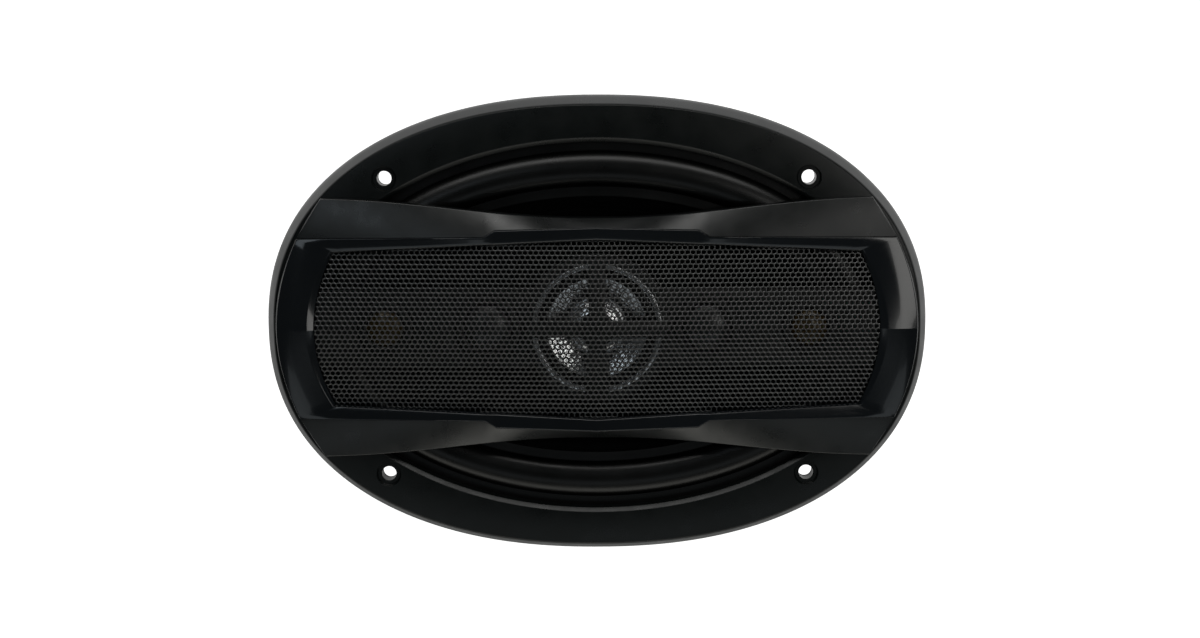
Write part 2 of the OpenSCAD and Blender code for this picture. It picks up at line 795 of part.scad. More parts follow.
module tweeter_housing(s) {
    translate([s * tweeter_x, 0, 0]) driver_cup(tweeter_r, tweeter_dome_r, tweeter_floor, 1.4);
}

module tweeter_dome(s) {
    translate([s * tweeter_x, 0, 0]) driver_dome(tweeter_dome_r, 3, [0.62, 0.63, 0.66]);
}

module tweeter_motor(s) {
    translate([s * tweeter_x, 0, 0]) driver_motor(tweeter_dome_r - 0.2, tweeter_floor);
}

module super_tweeter_housing(s) {
    translate([s * super_x, 0, 0]) driver_cup(super_r, super_dome_r, super_floor, 1.2);
}

module super_tweeter_dome(s) {
    translate([s * super_x, 0, 0]) driver_dome(super_dome_r, 2.4, [0.8, 0.45, 0.12]);
}

module super_tweeter_motor(s) {
    translate([s * super_x, 0, 0]) driver_motor(super_dome_r - 0.2, super_floor);
}

module tweeter_housing_left() { tweeter_housing(-1); }
module tweeter_housing_right() { tweeter_housing(1); }
module tweeter_dome_left() { tweeter_dome(-1); }
module tweeter_dome_right() { tweeter_dome(1); }
module tweeter_motor_left() { tweeter_motor(-1); }
module tweeter_motor_right() { tweeter_motor(1); }
module super_tweeter_housing_left() { super_tweeter_housing(-1); }
module super_tweeter_housing_right() { super_tweeter_housing(1); }
module super_tweeter_dome_left() { super_tweeter_dome(-1); }
module super_tweeter_dome_right() { super_tweeter_dome(1); }
module super_tweeter_motor_left() { super_tweeter_motor(-1); }
module super_tweeter_motor_right() { super_tweeter_motor(1); }

module capacitor_body(s, grow) {
    translate([s * capacitor_x, 0, capacitor_z])
        rotate([90, 0, 0]) cylinder(r = capacitor_r + grow, h = capacitor_l + 2 * grow, center = true);
}

module midrange_capacitor() {
    color([0.15, 0.2, 0.4]) capacitor_body(-1, 0);
}

module tweeter_capacitor() {
    color([0.6, 0.15, 0.1]) capacitor_body(1, 0);
}

// ---------- grille ----------

notch_out = notch_x + notch_run / 2;
notch_in = notch_x - notch_run / 2;
shoulder_h = 6.8;
crest_fall = 2;
trim_drop = 3.6;        // height of the trim's outer wall along the long sides
mesh_sink = 0.6;        // how far the sheet lies under the trim's inner edge
brow_w = 0.6;           // width of the slope from the trim's top to the sheet, along the long sides
brow_end = 2.6;         // and at the ends
brow_fall = 0.4;

// Places along half a long edge, from the corner to the middle, with two at the notch
function half_stations(corner_x) = concat(
    [for (i = [0:4]) mix(corner_x, notch_out, i / 5)],
    [notch_out, notch_in],
    [for (i = [1:4]) notch_in * (1 - i / 4)]);
function stations(corner_x) =
    let (h = half_stations(corner_x), n = len(h)) concat(h, [for (i = [n - 2:-1:0]) -h[i]]);

// A closed edge of the grille: fy and fz give the long edges, and the ends bulge to end_x
function grille_loop(corner_x, end_x, fy, fz, end_z) =
    let (
        xs = stations(corner_x),
        n = len(xs),
        vs = [for (i = [1:END_N - 1]) 1 - 2 * i / END_N],
        corner_y = fy(corner_x),
        corner_z = fz(corner_x),
        end = [for (v = vs) [corner_x + (end_x - corner_x) * (1 - v * v), corner_y * v, mix(end_z, corner_z, abs(v))]]
    )
    concat(
        [for (x = xs) [x, fy(x), fz(x)]],
        [for (p = end) [-p[0], p[1], p[2]]],
        [for (x = xs) [-x, -fy(x), fz(x)]],
        [for (p = end) [p[0], -p[1], p[2]]]
    );

function notch_blend(x) = ease((abs(x) - notch_in) / notch_run);
function band_y(x) = mix(band_mid, front_y(band_x), ease((abs(x) / band_x - 0.05) / 0.95));
function band_z(x) = ring_face + mix(band_mid_h, band_corner_h, abs(x) / band_x);
function trim_y(x) = mix(
    mix(trim_mid, shoulder_y + notch_step, abs(x) / notch_x),
    mix(shoulder_y, trim_corner_y, (abs(x) - notch_x) / (trim_corner_x - notch_x)),
    notch_blend(x));
function trim_z(x) = ring_face + mix(
    crest_h - crest_fall * abs(x) / notch_x,
    mix(shoulder_h, corner_h, (abs(x) - notch_x) / (trim_corner_x - notch_x)),
    notch_blend(x));
function mesh_y(x) = mix(mesh_mid, mesh_corner_y, abs(x) / mesh_corner_x);
function eave_z(x) = ring_face + mix(ridge_h - eave_fall, mesh_corner_h, abs(x) / mesh_corner_x);
function ridge_z(x) = ring_face + mix(ridge_h, mesh_end_h, abs(x) / mesh_end_x);

function band_loop(inset, fz, end_z) = grille_loop(
    band_x - inset, half_l - 3.8 - inset, function(x) band_y(x) - inset, fz, end_z);
function trim_loop(inset, fz, end_z) = grille_loop(
    trim_corner_x - inset, trim_end_x - inset, function(x) trim_y(x) - inset, fz, end_z);
// The inner edge of the trim's top, which stands above the sheet
function brow_loop() = grille_loop(
    mesh_corner_x + brow_w, mesh_end_x + brow_end, function(x) mesh_y(x) + brow_w,
    function(x) trim_z(x) - brow_fall, ring_face + trim_end_h + 1.1);
function mesh_loop(inset, rise) = grille_loop(
    mesh_corner_x - inset, mesh_end_x - inset, function(x) mesh_y(x) - inset,
    function(x) eave_z(x) + rise, ring_face + mesh_end_h + rise);

module grille_frame() {
    color([0.13, 0.13, 0.135])
        ring_loft([
            band_loop(0, function(x) ring_face, ring_face),
            band_loop(0.2, function(x) band_z(x), ring_face + band_end_h),
            trim_loop(-fit, function(x) trim_z(x) - 0.6, ring_face + 1.6),
            trim_loop(-fit, function(x) trim_z(x) - trim_drop, ring_face)
        ]);
}

module grille_trim() {
    color([0.03, 0.035, 0.045])
        ring_loft([
            trim_loop(0, function(x) trim_z(x) - trim_drop, ring_face),
            trim_loop(0, function(x) trim_z(x), ring_face + trim_end_h),
            brow_loop(),
            mesh_loop(0, 0),
            mesh_loop(0, -mesh_sink - mesh_t),
            trim_loop(trim_wall, function(x) trim_z(x) - trim_wall - 0.3, ring_face + trim_end_h - trim_wall - 0.2),
            trim_loop(trim_wall, function(x) trim_z(x) - trim_drop, ring_face)
        ]);
}

module grille_mesh() {
    rim = mesh_loop(fit, -mesh_sink);
    xs = stations(mesh_corner_x - fit);
    ridge = [for (x = xs) [x, 0, ridge_z(x) - mesh_sink]];
    n = len(rim);
    m = len(xs);
    far = m + END_N - 1;             // first point of the other long edge
    top = concat(rim, ridge);
    size = len(top);
    left = [for (i = [m - 1:far]) i];
    right = [for (i = [far + m - 1:n]) i % n];
    skin = concat(
        [for (i = [0:m - 2]) each [[i, n + i, n + i + 1], [i, n + i + 1, i + 1]]],
        [for (i = [0:m - 2]) let (a = far + m - 1 - i) each [[n + i, a, a - 1], [n + i, a - 1, n + i + 1]]],
        [for (i = [0:len(left) - 2]) [n + m - 1, left[i + 1], left[i]]],
        [for (i = [0:len(right) - 2]) [n, right[i + 1], right[i]]]
    );
    color([0.1, 0.1, 0.105])
        polyhedron(
            points = concat(top, [for (p = top) p - [0, 0, mesh_t]]),
            faces = concat(
                skin,
                [for (f = skin) [f[0] + size, f[2] + size, f[1] + size]],
                [for (i = [0:n - 1]) let (e = (i + 1) % n) each [[i + size, e, e + size], [i + size, i, e]]]
            )
        );
}

trim_ring();
mounting_gasket();
basket();
surround();
woofer_cone();
dust_cap();
voice_coil_former();
voice_coil_winding();
spider();
top_plate();
magnet();
back_plate();
magnet_boot();
plate_rivets();
terminal_block();
terminal_positive();
terminal_negative();
terminal_rivets();
tinsel_lead_positive();
tinsel_lead_negative();
tweeter_bridge();
bridge_screws();
midrange_frame();
midrange_surround();
midrange_cone();
midrange_dome();
midrange_coil();
midrange_plate();
midrange_magnet();
midrange_yoke();
midrange_ring();
midrange_guard();
tweeter_housing_left();
tweeter_housing_right();
tweeter_dome_left();
tweeter_dome_right();
tweeter_motor_left();
tweeter_motor_right();
super_tweeter_housing_left();
super_tweeter_housing_right();
super_tweeter_dome_left();
super_tweeter_dome_right();
super_tweeter_motor_left();
super_tweeter_motor_right();
midrange_capacitor();
tweeter_capacitor();
grille_frame();
grille_trim();
grille_mesh();
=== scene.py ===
"""Looks for the oval coaxial car speaker: rubber, paper, cloth, pressed steel and moulded plastic."""

import math

import bmesh
import bpy
import numpy as np
from mathutils import Matrix, Vector


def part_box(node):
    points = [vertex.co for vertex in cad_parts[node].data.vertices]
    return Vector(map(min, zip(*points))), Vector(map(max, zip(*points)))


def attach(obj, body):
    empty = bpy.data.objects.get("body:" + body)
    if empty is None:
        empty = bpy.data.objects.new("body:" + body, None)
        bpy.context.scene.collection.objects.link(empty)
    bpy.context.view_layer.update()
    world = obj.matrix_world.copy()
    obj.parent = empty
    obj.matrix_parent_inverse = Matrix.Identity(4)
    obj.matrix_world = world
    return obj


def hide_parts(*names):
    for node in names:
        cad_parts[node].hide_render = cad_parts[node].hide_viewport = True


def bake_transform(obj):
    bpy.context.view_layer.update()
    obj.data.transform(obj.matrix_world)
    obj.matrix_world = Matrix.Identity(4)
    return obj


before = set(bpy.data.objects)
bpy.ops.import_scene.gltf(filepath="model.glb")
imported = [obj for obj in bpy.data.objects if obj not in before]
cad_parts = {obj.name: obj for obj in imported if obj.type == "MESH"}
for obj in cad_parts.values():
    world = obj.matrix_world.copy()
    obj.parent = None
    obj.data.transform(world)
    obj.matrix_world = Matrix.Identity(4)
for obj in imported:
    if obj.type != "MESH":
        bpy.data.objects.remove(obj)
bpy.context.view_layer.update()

MM = 0.001


def span(node):
    """Lowest and highest corner of a CAD node, in millimetres."""
    low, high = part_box(node)
    return low / MM, high / MM


# ---------- sizes, in millimetres ----------

COLUMNS = 256                       # points round an oval piece
FIT = 0.05                          # clearance between fixed pieces
HALF_L, HALF_W, RING_FACE = span("trim_ring")[1]
RING_POWER = 2.24                   # squareness of the ring's outline
RIM_END = 15.5
RIM_SIDE = 16.7
OPEN_A = HALF_L - RIM_END
OPEN_B = HALF_W - RIM_SIDE
CROWN = 0.35                        # fall of the ring's face to its outer edge
LIP = 1.7
LIP_Z = 1.4
FACE_IN = 3.5
SKIRT = 1.3
HOLE_X = HALF_L - 43.8
HOLE_Y = HALF_W - 29.5
HOLE_R = 2.65
HOLE_PLACES = [(sx * HOLE_X, sy * HOLE_Y, 0) for sx in (-1, 1) for sy in (-1, 1)]
RECESS_R = 4.3
RECESS_DEPTH = 1.6

GASKET_T = span("mounting_gasket")[1].z
STEEL_T = 1.2
FLANGE_TOP = GASKET_T + STEEL_T
RUBBER_T = 0.8
GLUE_TOP = FLANGE_TOP + RUBBER_T

ROLL_W = 12.4
ROLL_H = 4.1
ROLL_A = OPEN_A - 9.8
ROLL_B = OPEN_B - 9.8
WALL_A = ROLL_A + ROLL_W / 2 + 0.6
WALL_B = ROLL_B + ROLL_W / 2 + 0.6
LANDING_A = WALL_A + 6.2
LANDING_B = WALL_B + 6.2
GLUE_W = 4

RIM_A = ROLL_A - ROLL_W / 2
RIM_B = ROLL_B - ROLL_W / 2
CONE_DEPTH = 33.7
CONE_T = 0.9
FORMER_R = 15.1                     # outside of the voice coil former
NECK_R = FORMER_R + FIT
NECK_Z = FLANGE_TOP - CONE_DEPTH
CAP_S = 0.88                        # where on the cone the dust cap sits
CAP_RISE = 7.2
CAP_T = 0.6

SHELF_Z = NECK_Z - 5.3
SHELF_R = 47
WELL_R = 37
SEAT_Z = SHELF_Z - 10
KNEE_Z = GASKET_T - 7.5
SPIDER_R = 43.5
MOTOR_TOP = SEAT_Z - STEEL_T
KNEE_A = WALL_A - 3                  # the sloping wall starts at the knee
KNEE_B = WALL_B - 2
BORE_R = 18.8
BOOT_LOW_Z = span("magnet_boot")[0].z

BAND_X = HALF_L - 21
BAND_END_X = HALF_L - 3.8
BAND_MID = 40.2
TRIM_MID = 36.8
TRIM_END_X = HALF_L - 4.8
TRIM_CORNER_X = HALF_L - 12.4
TRIM_CORNER_Y = 32.7
TRIM_WALL = 1.2
TRIM_DROP = 3.6
NOTCH_X = 38.5
NOTCH_RUN = 4
NOTCH_STEP = 2.4
SHOULDER_Y = TRIM_MID - 3.5
MESH_CORNER_X = TRIM_CORNER_X - 12.8
MESH_CORNER_Y = TRIM_CORNER_Y - 5.1
MESH_MID = TRIM_MID - 4.6
MESH_END_X = TRIM_END_X - 13.4
MESH_SINK = 0.6
MESH_T = 0.8
# heights above the ring's face
BAND_CORNER_H = 1.5
BAND_MID_H = 3
BAND_END_H = 0.9
CREST_H = 8.2
CREST_FALL = 2
BROW_FALL = 0.4
BROW_W = 0.6
BROW_END = 2.6
SHOULDER_H = 6.8
CORNER_H = 3.6
TRIM_END_H = 5.4
RIDGE_H = 10
EAVE_H = 6.8
MESH_END_H = 5.6
MESH_CORNER_H = 2.6


# ---------- camera, light and floor ----------

CAMERA_FAR = 800                    # distance from the middle of the ring's face
CAMERA_TILT = math.radians(8.5)     # how far the camera leans towards +Y
CAMERA_ROLL = math.radians(-0.2)


def add_camera():
    data = bpy.data.cameras.new("camera")
    data.sensor_width = 36
    data.lens = 66.4
    data.shift_x = 0.0025
    data.shift_y = 0.0069
    camera = bpy.data.objects.new("camera", data)
    bpy.context.scene.collection.objects.link(camera)
    height = RING_FACE + CAMERA_FAR * math.cos(CAMERA_TILT)
    camera.location = Vector((0, CAMERA_FAR * math.sin(CAMERA_TILT), height)) * MM
    lean = Matrix.Rotation(-CAMERA_TILT, 4, "X")
    roll = Matrix.Rotation(CAMERA_ROLL, 4, "Z")
    camera.rotation_euler = (lean @ roll).to_euler()
    bpy.context.scene.camera = camera


def add_light(name, place, aim, width, height, watts, colour=(1, 1, 1)):
    """A soft rectangular light at place, turned towards aim. Both are in millimetres."""
    data = bpy.data.lights.new(name, "AREA")
    data.shape = "RECTANGLE"
    data.size = width * MM
    data.size_y = height * MM
    data.energy = watts
    data.color = colour
    light = bpy.data.objects.new(name, data)
    bpy.context.scene.collection.objects.link(light)
    light.location = Vector(place) * MM
    light.rotation_euler = (Vector(place) - Vector(aim)).to_track_quat("Z", "Y").to_euler()


def add_studio():
    scene = bpy.context.scene
    scene.view_settings.view_transform = "Standard"
    world = bpy.data.worlds.new("studio")
    scene.world = world
    world.use_nodes = True
    world.node_tree.nodes["Background"].inputs["Color"].default_value = (0.9, 0.98, 1, 1)
    world.node_tree.nodes["Background"].inputs["Strength"].default_value = 0.04
    centre = (0, 0, RING_FACE)
    add_light("right_softbox", (340, 120, 600), centre, 300, 260, 0.5, (1, 0.99, 0.96))
    add_light("left_softbox", (-210, 215, 640), centre, 220, 140, 0.12, (0.82, 0.92, 1))
    add_light("front_softbox", (0, -640, 300), centre, 900, 300, 1.3, (1, 0.99, 0.92))
    add_light("ceiling_bounce", (0, -330, 620), centre, 760, 180, 0.2, (0.88, 0.96, 1))
    add_light("back_softbox", (0, 610, 430), centre, 800, 220, 1.9, (1, 1, 0.98))


def floor_finish():
    """A white sweep. It looks bright to the camera and sends a soft light back, most from behind."""
    made, tree, shader = finish("pale_floor", (0.9, 0.9, 0.9), 0.8)
    where = millimetres(tree)
    tint(tree, shader, noise(tree, where, 3, detail=4), (0.88, 0.88, 0.88), (0.92, 0.92, 0.92))
    shader.inputs["Emission Color"].default_value = (1, 1, 1, 1)
    seen = tree.nodes.new("ShaderNodeLightPath").outputs["Is Camera Ray"]
    behind = maths(tree, "MULTIPLY_ADD", split_up(tree, where)["Y"], 0.0018, 0.5)
    glow = between(tree, behind, 0.12, 0.7)
    tree.links.new(maths(tree, "MAXIMUM", seen, glow), shader.inputs["Emission Strength"])
    return made


def add_floor():
    gap = 0.2                       # under the magnet's boot
    bm = bmesh.new()
    bmesh.ops.create_grid(bm, x_segments=8, y_segments=8, size=4000 * MM)
    bmesh.ops.translate(bm, vec=(0, 0, (BOOT_LOW_Z - gap) * MM), verts=bm.verts)
    floor = as_object("floor", bm)
    floor.data.materials.append(floor_finish())


# ---------- material helpers ----------

def finish(name, colour, rough, metal=0.0, **sockets):
    """A new material, its node tree and its shader. Sockets are set by name, with _ for a space."""
    made = bpy.data.materials.new(name)
    made.use_nodes = True
    tree = made.node_tree
    shader = tree.nodes["Principled BSDF"]
    shader.inputs["Base Color"].default_value = (*colour, 1)
    shader.inputs["Roughness"].default_value = rough
    shader.inputs["Metallic"].default_value = metal
    for socket, value in sockets.items():
        shader.inputs[socket.replace("_", " ")].default_value = value
    return made, tree, shader


def millimetres(tree, stretch=(1, 1, 1)):
    """Object coordinates in millimetres, squeezed along each axis by stretch."""
    where = tree.nodes.new("ShaderNodeTexCoord")
    mapping = tree.nodes.new("ShaderNodeMapping")
    mapping.inputs["Scale"].default_value = [s / MM for s in stretch]
    tree.links.new(where.outputs["Object"], mapping.inputs["Vector"])
    return mapping.outputs["Vector"]


def noise(tree, where, size, detail=3.0, rough=0.5):
    """Noise with features of about size millimetres."""
    node = tree.nodes.new("ShaderNodeTexNoise")
    node.inputs["Scale"].default_value = 1 / size
    node.inputs["Detail"].default_value = detail
    node.inputs["Roughness"].default_value = rough
    tree.links.new(where, node.inputs["Vector"])
    return node.outputs["Fac"]


def tint(tree, shader, factor, low, high, start=0.3, end=0.7):
    """Colours the surface from low to high as factor goes from start to end."""
    node = tree.nodes.new("ShaderNodeValToRGB")
    node.color_ramp.elements[0].position = start
    node.color_ramp.elements[1].position = end
    node.color_ramp.elements[0].color = (*low, 1)
    node.color_ramp.elements[1].color = (*high, 1)
    tree.links.new(factor, node.inputs["Fac"])
    tree.links.new(node.outputs["Color"], shader.inputs["Base Color"])


def between(tree, factor, low, high):
    """A number from low to high as factor goes from 0.3 to 0.7, where most of a noise lies."""
    node = tree.nodes.new("ShaderNodeMapRange")
    node.inputs["From Min"].default_value = 0.3
    node.inputs["From Max"].default_value = 0.7
    node.inputs["To Min"].default_value = low
    node.inputs["To Max"].default_value = high
    tree.links.new(factor, node.inputs["Value"])
    return node.outputs["Result"]


def sheen_off(tree, shader, factor, low, high):
    tree.links.new(between(tree, factor, low, high), shader.inputs["Roughness"])


def bump(tree, shader, height, depth, strength=1.0):
    """Relief of depth millimetres. A second call stacks on the first."""
    node = tree.nodes.new("ShaderNodeBump")
    node.inputs["Distance"].default_value = depth * MM
    node.inputs["Strength"].default_value = strength
    tree.links.new(height, node.inputs["Height"])
    before = shader.inputs["Normal"].links
    if before:
        tree.links.new(before[0].from_socket, node.inputs["Normal"])
    tree.links.new(node.outputs["Normal"], shader.inputs["Normal"])


def maths(tree, operation, *values):
    node = tree.nodes.new("ShaderNodeMath")
    node.operation = operation
    for socket, value in zip(node.inputs, values):
        if isinstance(value, (int, float)):
            socket.default_value = value
        else:
            tree.links.new(value, socket)
    return node.outputs["Value"]


def split_up(tree, where):
    """The X, Y and Z of a place."""
    node = tree.nodes.new("ShaderNodeSeparateXYZ")
    tree.links.new(where, node.inputs["Vector"])
    return node.outputs


def distance_from_axis(tree, where, squash=1.0):
    """How far a point is from the Z axis, with Y stretched by squash, in millimetres."""
    place = split_up(tree, where)
    stretched = maths(tree, "MULTIPLY", place["Y"], squash)
    x_part = maths(tree, "POWER", maths(tree, "ABSOLUTE", place["X"]), 2.0)
    y_part = maths(tree, "POWER", maths(tree, "ABSOLUTE", stretched), 2.0)
    return maths(tree, "SQRT", maths(tree, "ADD", x_part, y_part))


def rings(tree, distance, pitch):
    """A wave from 0 to 1 that repeats every pitch millimetres of distance."""
    turn = maths(tree, "MULTIPLY", distance, 2 * math.pi / pitch)
    return maths(tree, "MULTIPLY_ADD", maths(tree, "SINE", turn), 0.5, 0.5)


# ---------- finishes ----------

def moulded_black(name, dark, pale, rough, grain=0.35, depth=0.012, shine=0.5):
    """Moulded black plastic: a fine sparked grain, slow shade changes and a little wear in the shine."""
    made, tree, shader = finish(name, pale, rough, Specular_IOR_Level=shine)
    where = millimetres(tree)
    slow = noise(tree, where, 26, detail=2)
    fine = noise(tree, where, grain, detail=3)
    tint(tree, shader, slow, dark, pale)
    sheen_off(tree, shader, noise(tree, where, 9, detail=5), rough - 0.05, rough + 0.06)
    bump(tree, shader, fine, depth)
    return made


def ring_plastic():
    return moulded_black("ring_plastic", (0.0022, 0.0032, 0.003), (0.0032, 0.0044, 0.0041), 0.3, shine=0.3)


def band_plastic():
    return moulded_black("band_plastic", (0.005, 0.006, 0.006), (0.007, 0.008, 0.0078), 0.3, 0.25, 0.006)


def bridge_plastic():
    return moulded_black("bridge_plastic", (0.006, 0.006, 0.006), (0.010, 0.010, 0.0105), 0.5)


def terminal_plastic():
    return moulded_black("terminal_plastic", (0.012, 0.012, 0.012), (0.02, 0.02, 0.021), 0.5, 0.5, 0.02)


def guard_plastic():
    return moulded_black("guard_plastic", (0.005, 0.005, 0.005), (0.008, 0.008, 0.008), 0.45)


def gloss_trim():
    """Polished navy-black plastic with faint flow marks and hairline swirls."""
    navy = (0.0035, 0.0048, 0.0062)
    made, tree, shader = finish("gloss_trim", navy, 0.09, Coat_Weight=0.4, Coat_Roughness=0.04)
    where = millimetres(tree)
    slow = noise(tree, where, 30, detail=2)
    swirl = noise(tree, millimetres(tree, (0.25, 3, 1)), 1.2, detail=6, rough=0.7)
    tint(tree, shader, slow, (0.0026, 0.0036, 0.0048), (0.0042, 0.0056, 0.0072))
    sheen_off(tree, shader, swirl, 0.12, 0.17)
    bump(tree, shader, slow, 0.05, 0.25)
    return made


def surround_rubber():
    """Black butyl rubber with a dull bloom and a fine moulded grain."""
    made, tree, shader = finish("surround_rubber", (0.0014, 0.0014, 0.0014), 0.3, Specular_IOR_Level=0.3)
    where = millimetres(tree)
    bloom = noise(tree, where, 14, detail=5)
    tint(tree, shader, bloom, (0.001, 0.0011, 0.001), (0.0018, 0.0019, 0.0018))
    sheen_off(tree, shader, bloom, 0.27, 0.33)
    bump(tree, shader, noise(tree, where, 0.3, detail=4), 0.012)
    return made


def paper(name, dark, pale, pitch):
    """Pressed paper: felted fibres, faint rings and a matt face."""
    made, tree, shader = finish(name, pale, 0.85, Specular_IOR_Level=0.12)
    where = millimetres(tree)
    fibres = noise(tree, where, 0.5, detail=8, rough=0.75)
    clumps = noise(tree, where, 4, detail=4)
    tint(tree, shader, clumps, dark, pale)
    sheen_off(tree, shader, clumps, 0.78, 0.92)
    bump(tree, shader, fibres, 0.08)
    bump(tree, shader, rings(tree, distance_from_axis(tree, where, RIM_A / RIM_B), pitch), 0.1, 0.3)
    return made


def cone_paper():
    return paper("cone_paper", (0.0008, 0.0010, 0.0010), (0.0014, 0.0017, 0.0016), 3.0)


def cap_paper():
    return paper("cap_paper", (0.008, 0.008, 0.0085), (0.012, 0.012, 0.0125), 40.0)


def painted_steel():
    """Black powder coat over pressed steel, with orange peel."""
    made, tree, shader = finish("painted_steel", (0.012, 0.0125, 0.013), 0.4)
    where = millimetres(tree)
    peel = noise(tree, where, 0.9, detail=2)
    tint(tree, shader, noise(tree, where, 18, detail=4), (0.011, 0.0115, 0.012), (0.018, 0.0185, 0.019))
    sheen_off(tree, shader, noise(tree, where, 6, detail=5), 0.34, 0.46)
    bump(tree, shader, peel, 0.03, 0.6)
    return made


def foam():
    """Black open foam, pitted all over, with painted shade darkening each pit."""
    made, tree, shader = finish("foam", (0.02, 0.02, 0.021), 0.95)
    where = millimetres(tree)
    cells = tree.nodes.new("ShaderNodeTexVoronoi")
    cells.inputs["Scale"].default_value = 1 / 0.6
    tree.links.new(where, cells.inputs["Vector"])
    # Painted shade: the colour darkens towards the middle of each cell, where the bump sinks into a pit.
    tint(tree, shader, cells.outputs["Distance"], (0.008, 0.008, 0.009), (0.035, 0.035, 0.037), 0.1, 0.6)
    bump(tree, shader, cells.outputs["Distance"], 0.25)
    return made


def turned_metal(name, colour, rough, pitch=0.35):
    """Plated metal with fine turning marks round the Z axis and small stains."""
    made, tree, shader = finish(name, colour, rough, 1.0)
    where = millimetres(tree)
    marks = rings(tree, distance_from_axis(tree, where), pitch)
    stain = noise(tree, where, 7, detail=5)
    dull = [0.82 * c for c in colour]
    tint(tree, shader, stain, dull, colour)
    sheen_off(tree, shader, stain, rough, rough + 0.14)
    bump(tree, shader, marks, 0.006)
    return made


def plain_metal(name, colour, rough, grain=0.8):
    """Metal with a fine grain, faint scratches and stains."""
    made, tree, shader = finish(name, colour, rough, 1.0)
    where = millimetres(tree)
    stain = noise(tree, where, 3, detail=6)
    scratch = noise(tree, millimetres(tree, (6, 0.4, 1)), 0.5, detail=5, rough=0.7)
    tint(tree, shader, stain, [0.8 * c for c in colour], colour)
    sheen_off(tree, shader, scratch, rough - 0.06, rough + 0.12)
    bump(tree, shader, noise(tree, where, grain, detail=4), 0.01)
    return made


def ferrite():
    """Fired ferrite: dark grey and granular."""
    made, tree, shader = finish("ferrite", (0.03, 0.03, 0.032), 0.55, 0.3)
    where = millimetres(tree)
    tint(tree, shader, noise(tree, where, 1.2, detail=8), (0.018, 0.018, 0.02), (0.05, 0.05, 0.053))
    sheen_off(tree, shader, noise(tree, where, 5), 0.45, 0.65)
    bump(tree, shader, noise(tree, where, 0.4, detail=6), 0.05)
    return made


def boot_rubber():
    """Thick moulded rubber with a satin face."""
    made, tree, shader = finish("boot_rubber", (0.014, 0.014, 0.0145), 0.55)
    where = millimetres(tree)
    dust = noise(tree, where, 20, detail=6)
    tint(tree, shader, dust, (0.011, 0.011, 0.0115), (0.02, 0.02, 0.0205))
    sheen_off(tree, shader, dust, 0.48, 0.62)
    bump(tree, shader, noise(tree, where, 0.5, detail=5), 0.03)
    return made


def woven(name, warp_colour, gap_shade_colour, pitch, depth):
    """Treated cloth woven at 0 and 90 degrees, pitch millimetres a thread, with painted shade in the gaps
    between threads.
    """
    made, tree, shader = finish(name, warp_colour, 0.75)
    where = millimetres(tree)
    place = split_up(tree, where)
    turn = math.pi / pitch
    across = maths(tree, "ABSOLUTE", maths(tree, "SINE", maths(tree, "MULTIPLY", place["X"], turn)))
    along = maths(tree, "ABSOLUTE", maths(tree, "SINE", maths(tree, "MULTIPLY", place["Y"], turn)))
    weave = maths(tree, "MULTIPLY", across, along)
    # Painted shade: the colour darkens in the gaps between threads, where the bump is lowest.
    tint(tree, shader, weave, gap_shade_colour, warp_colour, 0.05, 0.5)
    sheen_off(tree, shader, noise(tree, where, 2), 0.65, 0.85)
    bump(tree, shader, weave, depth)
    return made


def spider_cloth():
    return woven("spider_cloth", (0.5, 0.33, 0.12), (0.2, 0.11, 0.03), 0.7, 0.12)


def coil_former():
    """Amber film wound into a tube."""
    made, tree, shader = finish("coil_former", (0.45, 0.24, 0.05), 0.35, Coat_Weight=0.3)
    where = millimetres(tree, (1, 1, 3))
    tint(tree, shader, noise(tree, where, 2, detail=4), (0.35, 0.17, 0.03), (0.5, 0.28, 0.07))
    sheen_off(tree, shader, noise(tree, where, 1), 0.28, 0.42)
    bump(tree, shader, noise(tree, where, 0.6), 0.01)
    return made


def copper_wire():
    """Enamelled copper wire wound in close turns, with painted shade in the grooves between turns."""
    made, tree, shader = finish("copper_wire", (0.72, 0.27, 0.09), 0.28, 1.0, Coat_Weight=0.5)
    where = millimetres(tree)
    turns = rings(tree, split_up(tree, where)["Z"], 0.28)
    # Painted shade: the colour darkens in the grooves between turns, where the bump is lowest.
    tint(tree, shader, turns, (0.3, 0.1, 0.03), (0.78, 0.32, 0.11), 0.0, 0.6)
    sheen_off(tree, shader, noise(tree, where, 1.5), 0.22, 0.36)
    bump(tree, shader, turns, 0.08)
    return made


def tinsel():
    """Copper braid: two sets of strands that cross round the lead, with painted shade between the strands."""
    made, tree, shader = finish("tinsel", (0.6, 0.32, 0.14), 0.38, 0.9)
    lead = tree.nodes.new("ShaderNodeUVMap")
    lead.uv_map = "along"
    place = split_up(tree, lead.outputs["UV"])
    one_way = maths(tree, "ADD", place["X"], place["Y"])
    other_way = maths(tree, "SUBTRACT", place["X"], place["Y"])
    strands = maths(tree, "MAXIMUM", rings(tree, one_way, 1.0), rings(tree, other_way, 1.0))
    # Painted shade: the colour darkens between the strands, where the bump is lowest.
    tint(tree, shader, strands, (0.12, 0.05, 0.02), (0.72, 0.42, 0.2), 0.35, 0.95)
    bump(tree, shader, strands, 0.12)
    return made


def capacitor_sleeve(name, colour):
    """Shrink sleeve over a capacitor can."""
    made, tree, shader = finish(name, colour, 0.3, Coat_Weight=0.2)
    where = millimetres(tree)
    tint(tree, shader, noise(tree, where, 5, detail=3), [0.8 * c for c in colour], colour)
    sheen_off(tree, shader, noise(tree, where, 3), 0.24, 0.38)
    bump(tree, shader, noise(tree, where, 1.4, detail=2), 0.03)
    return made


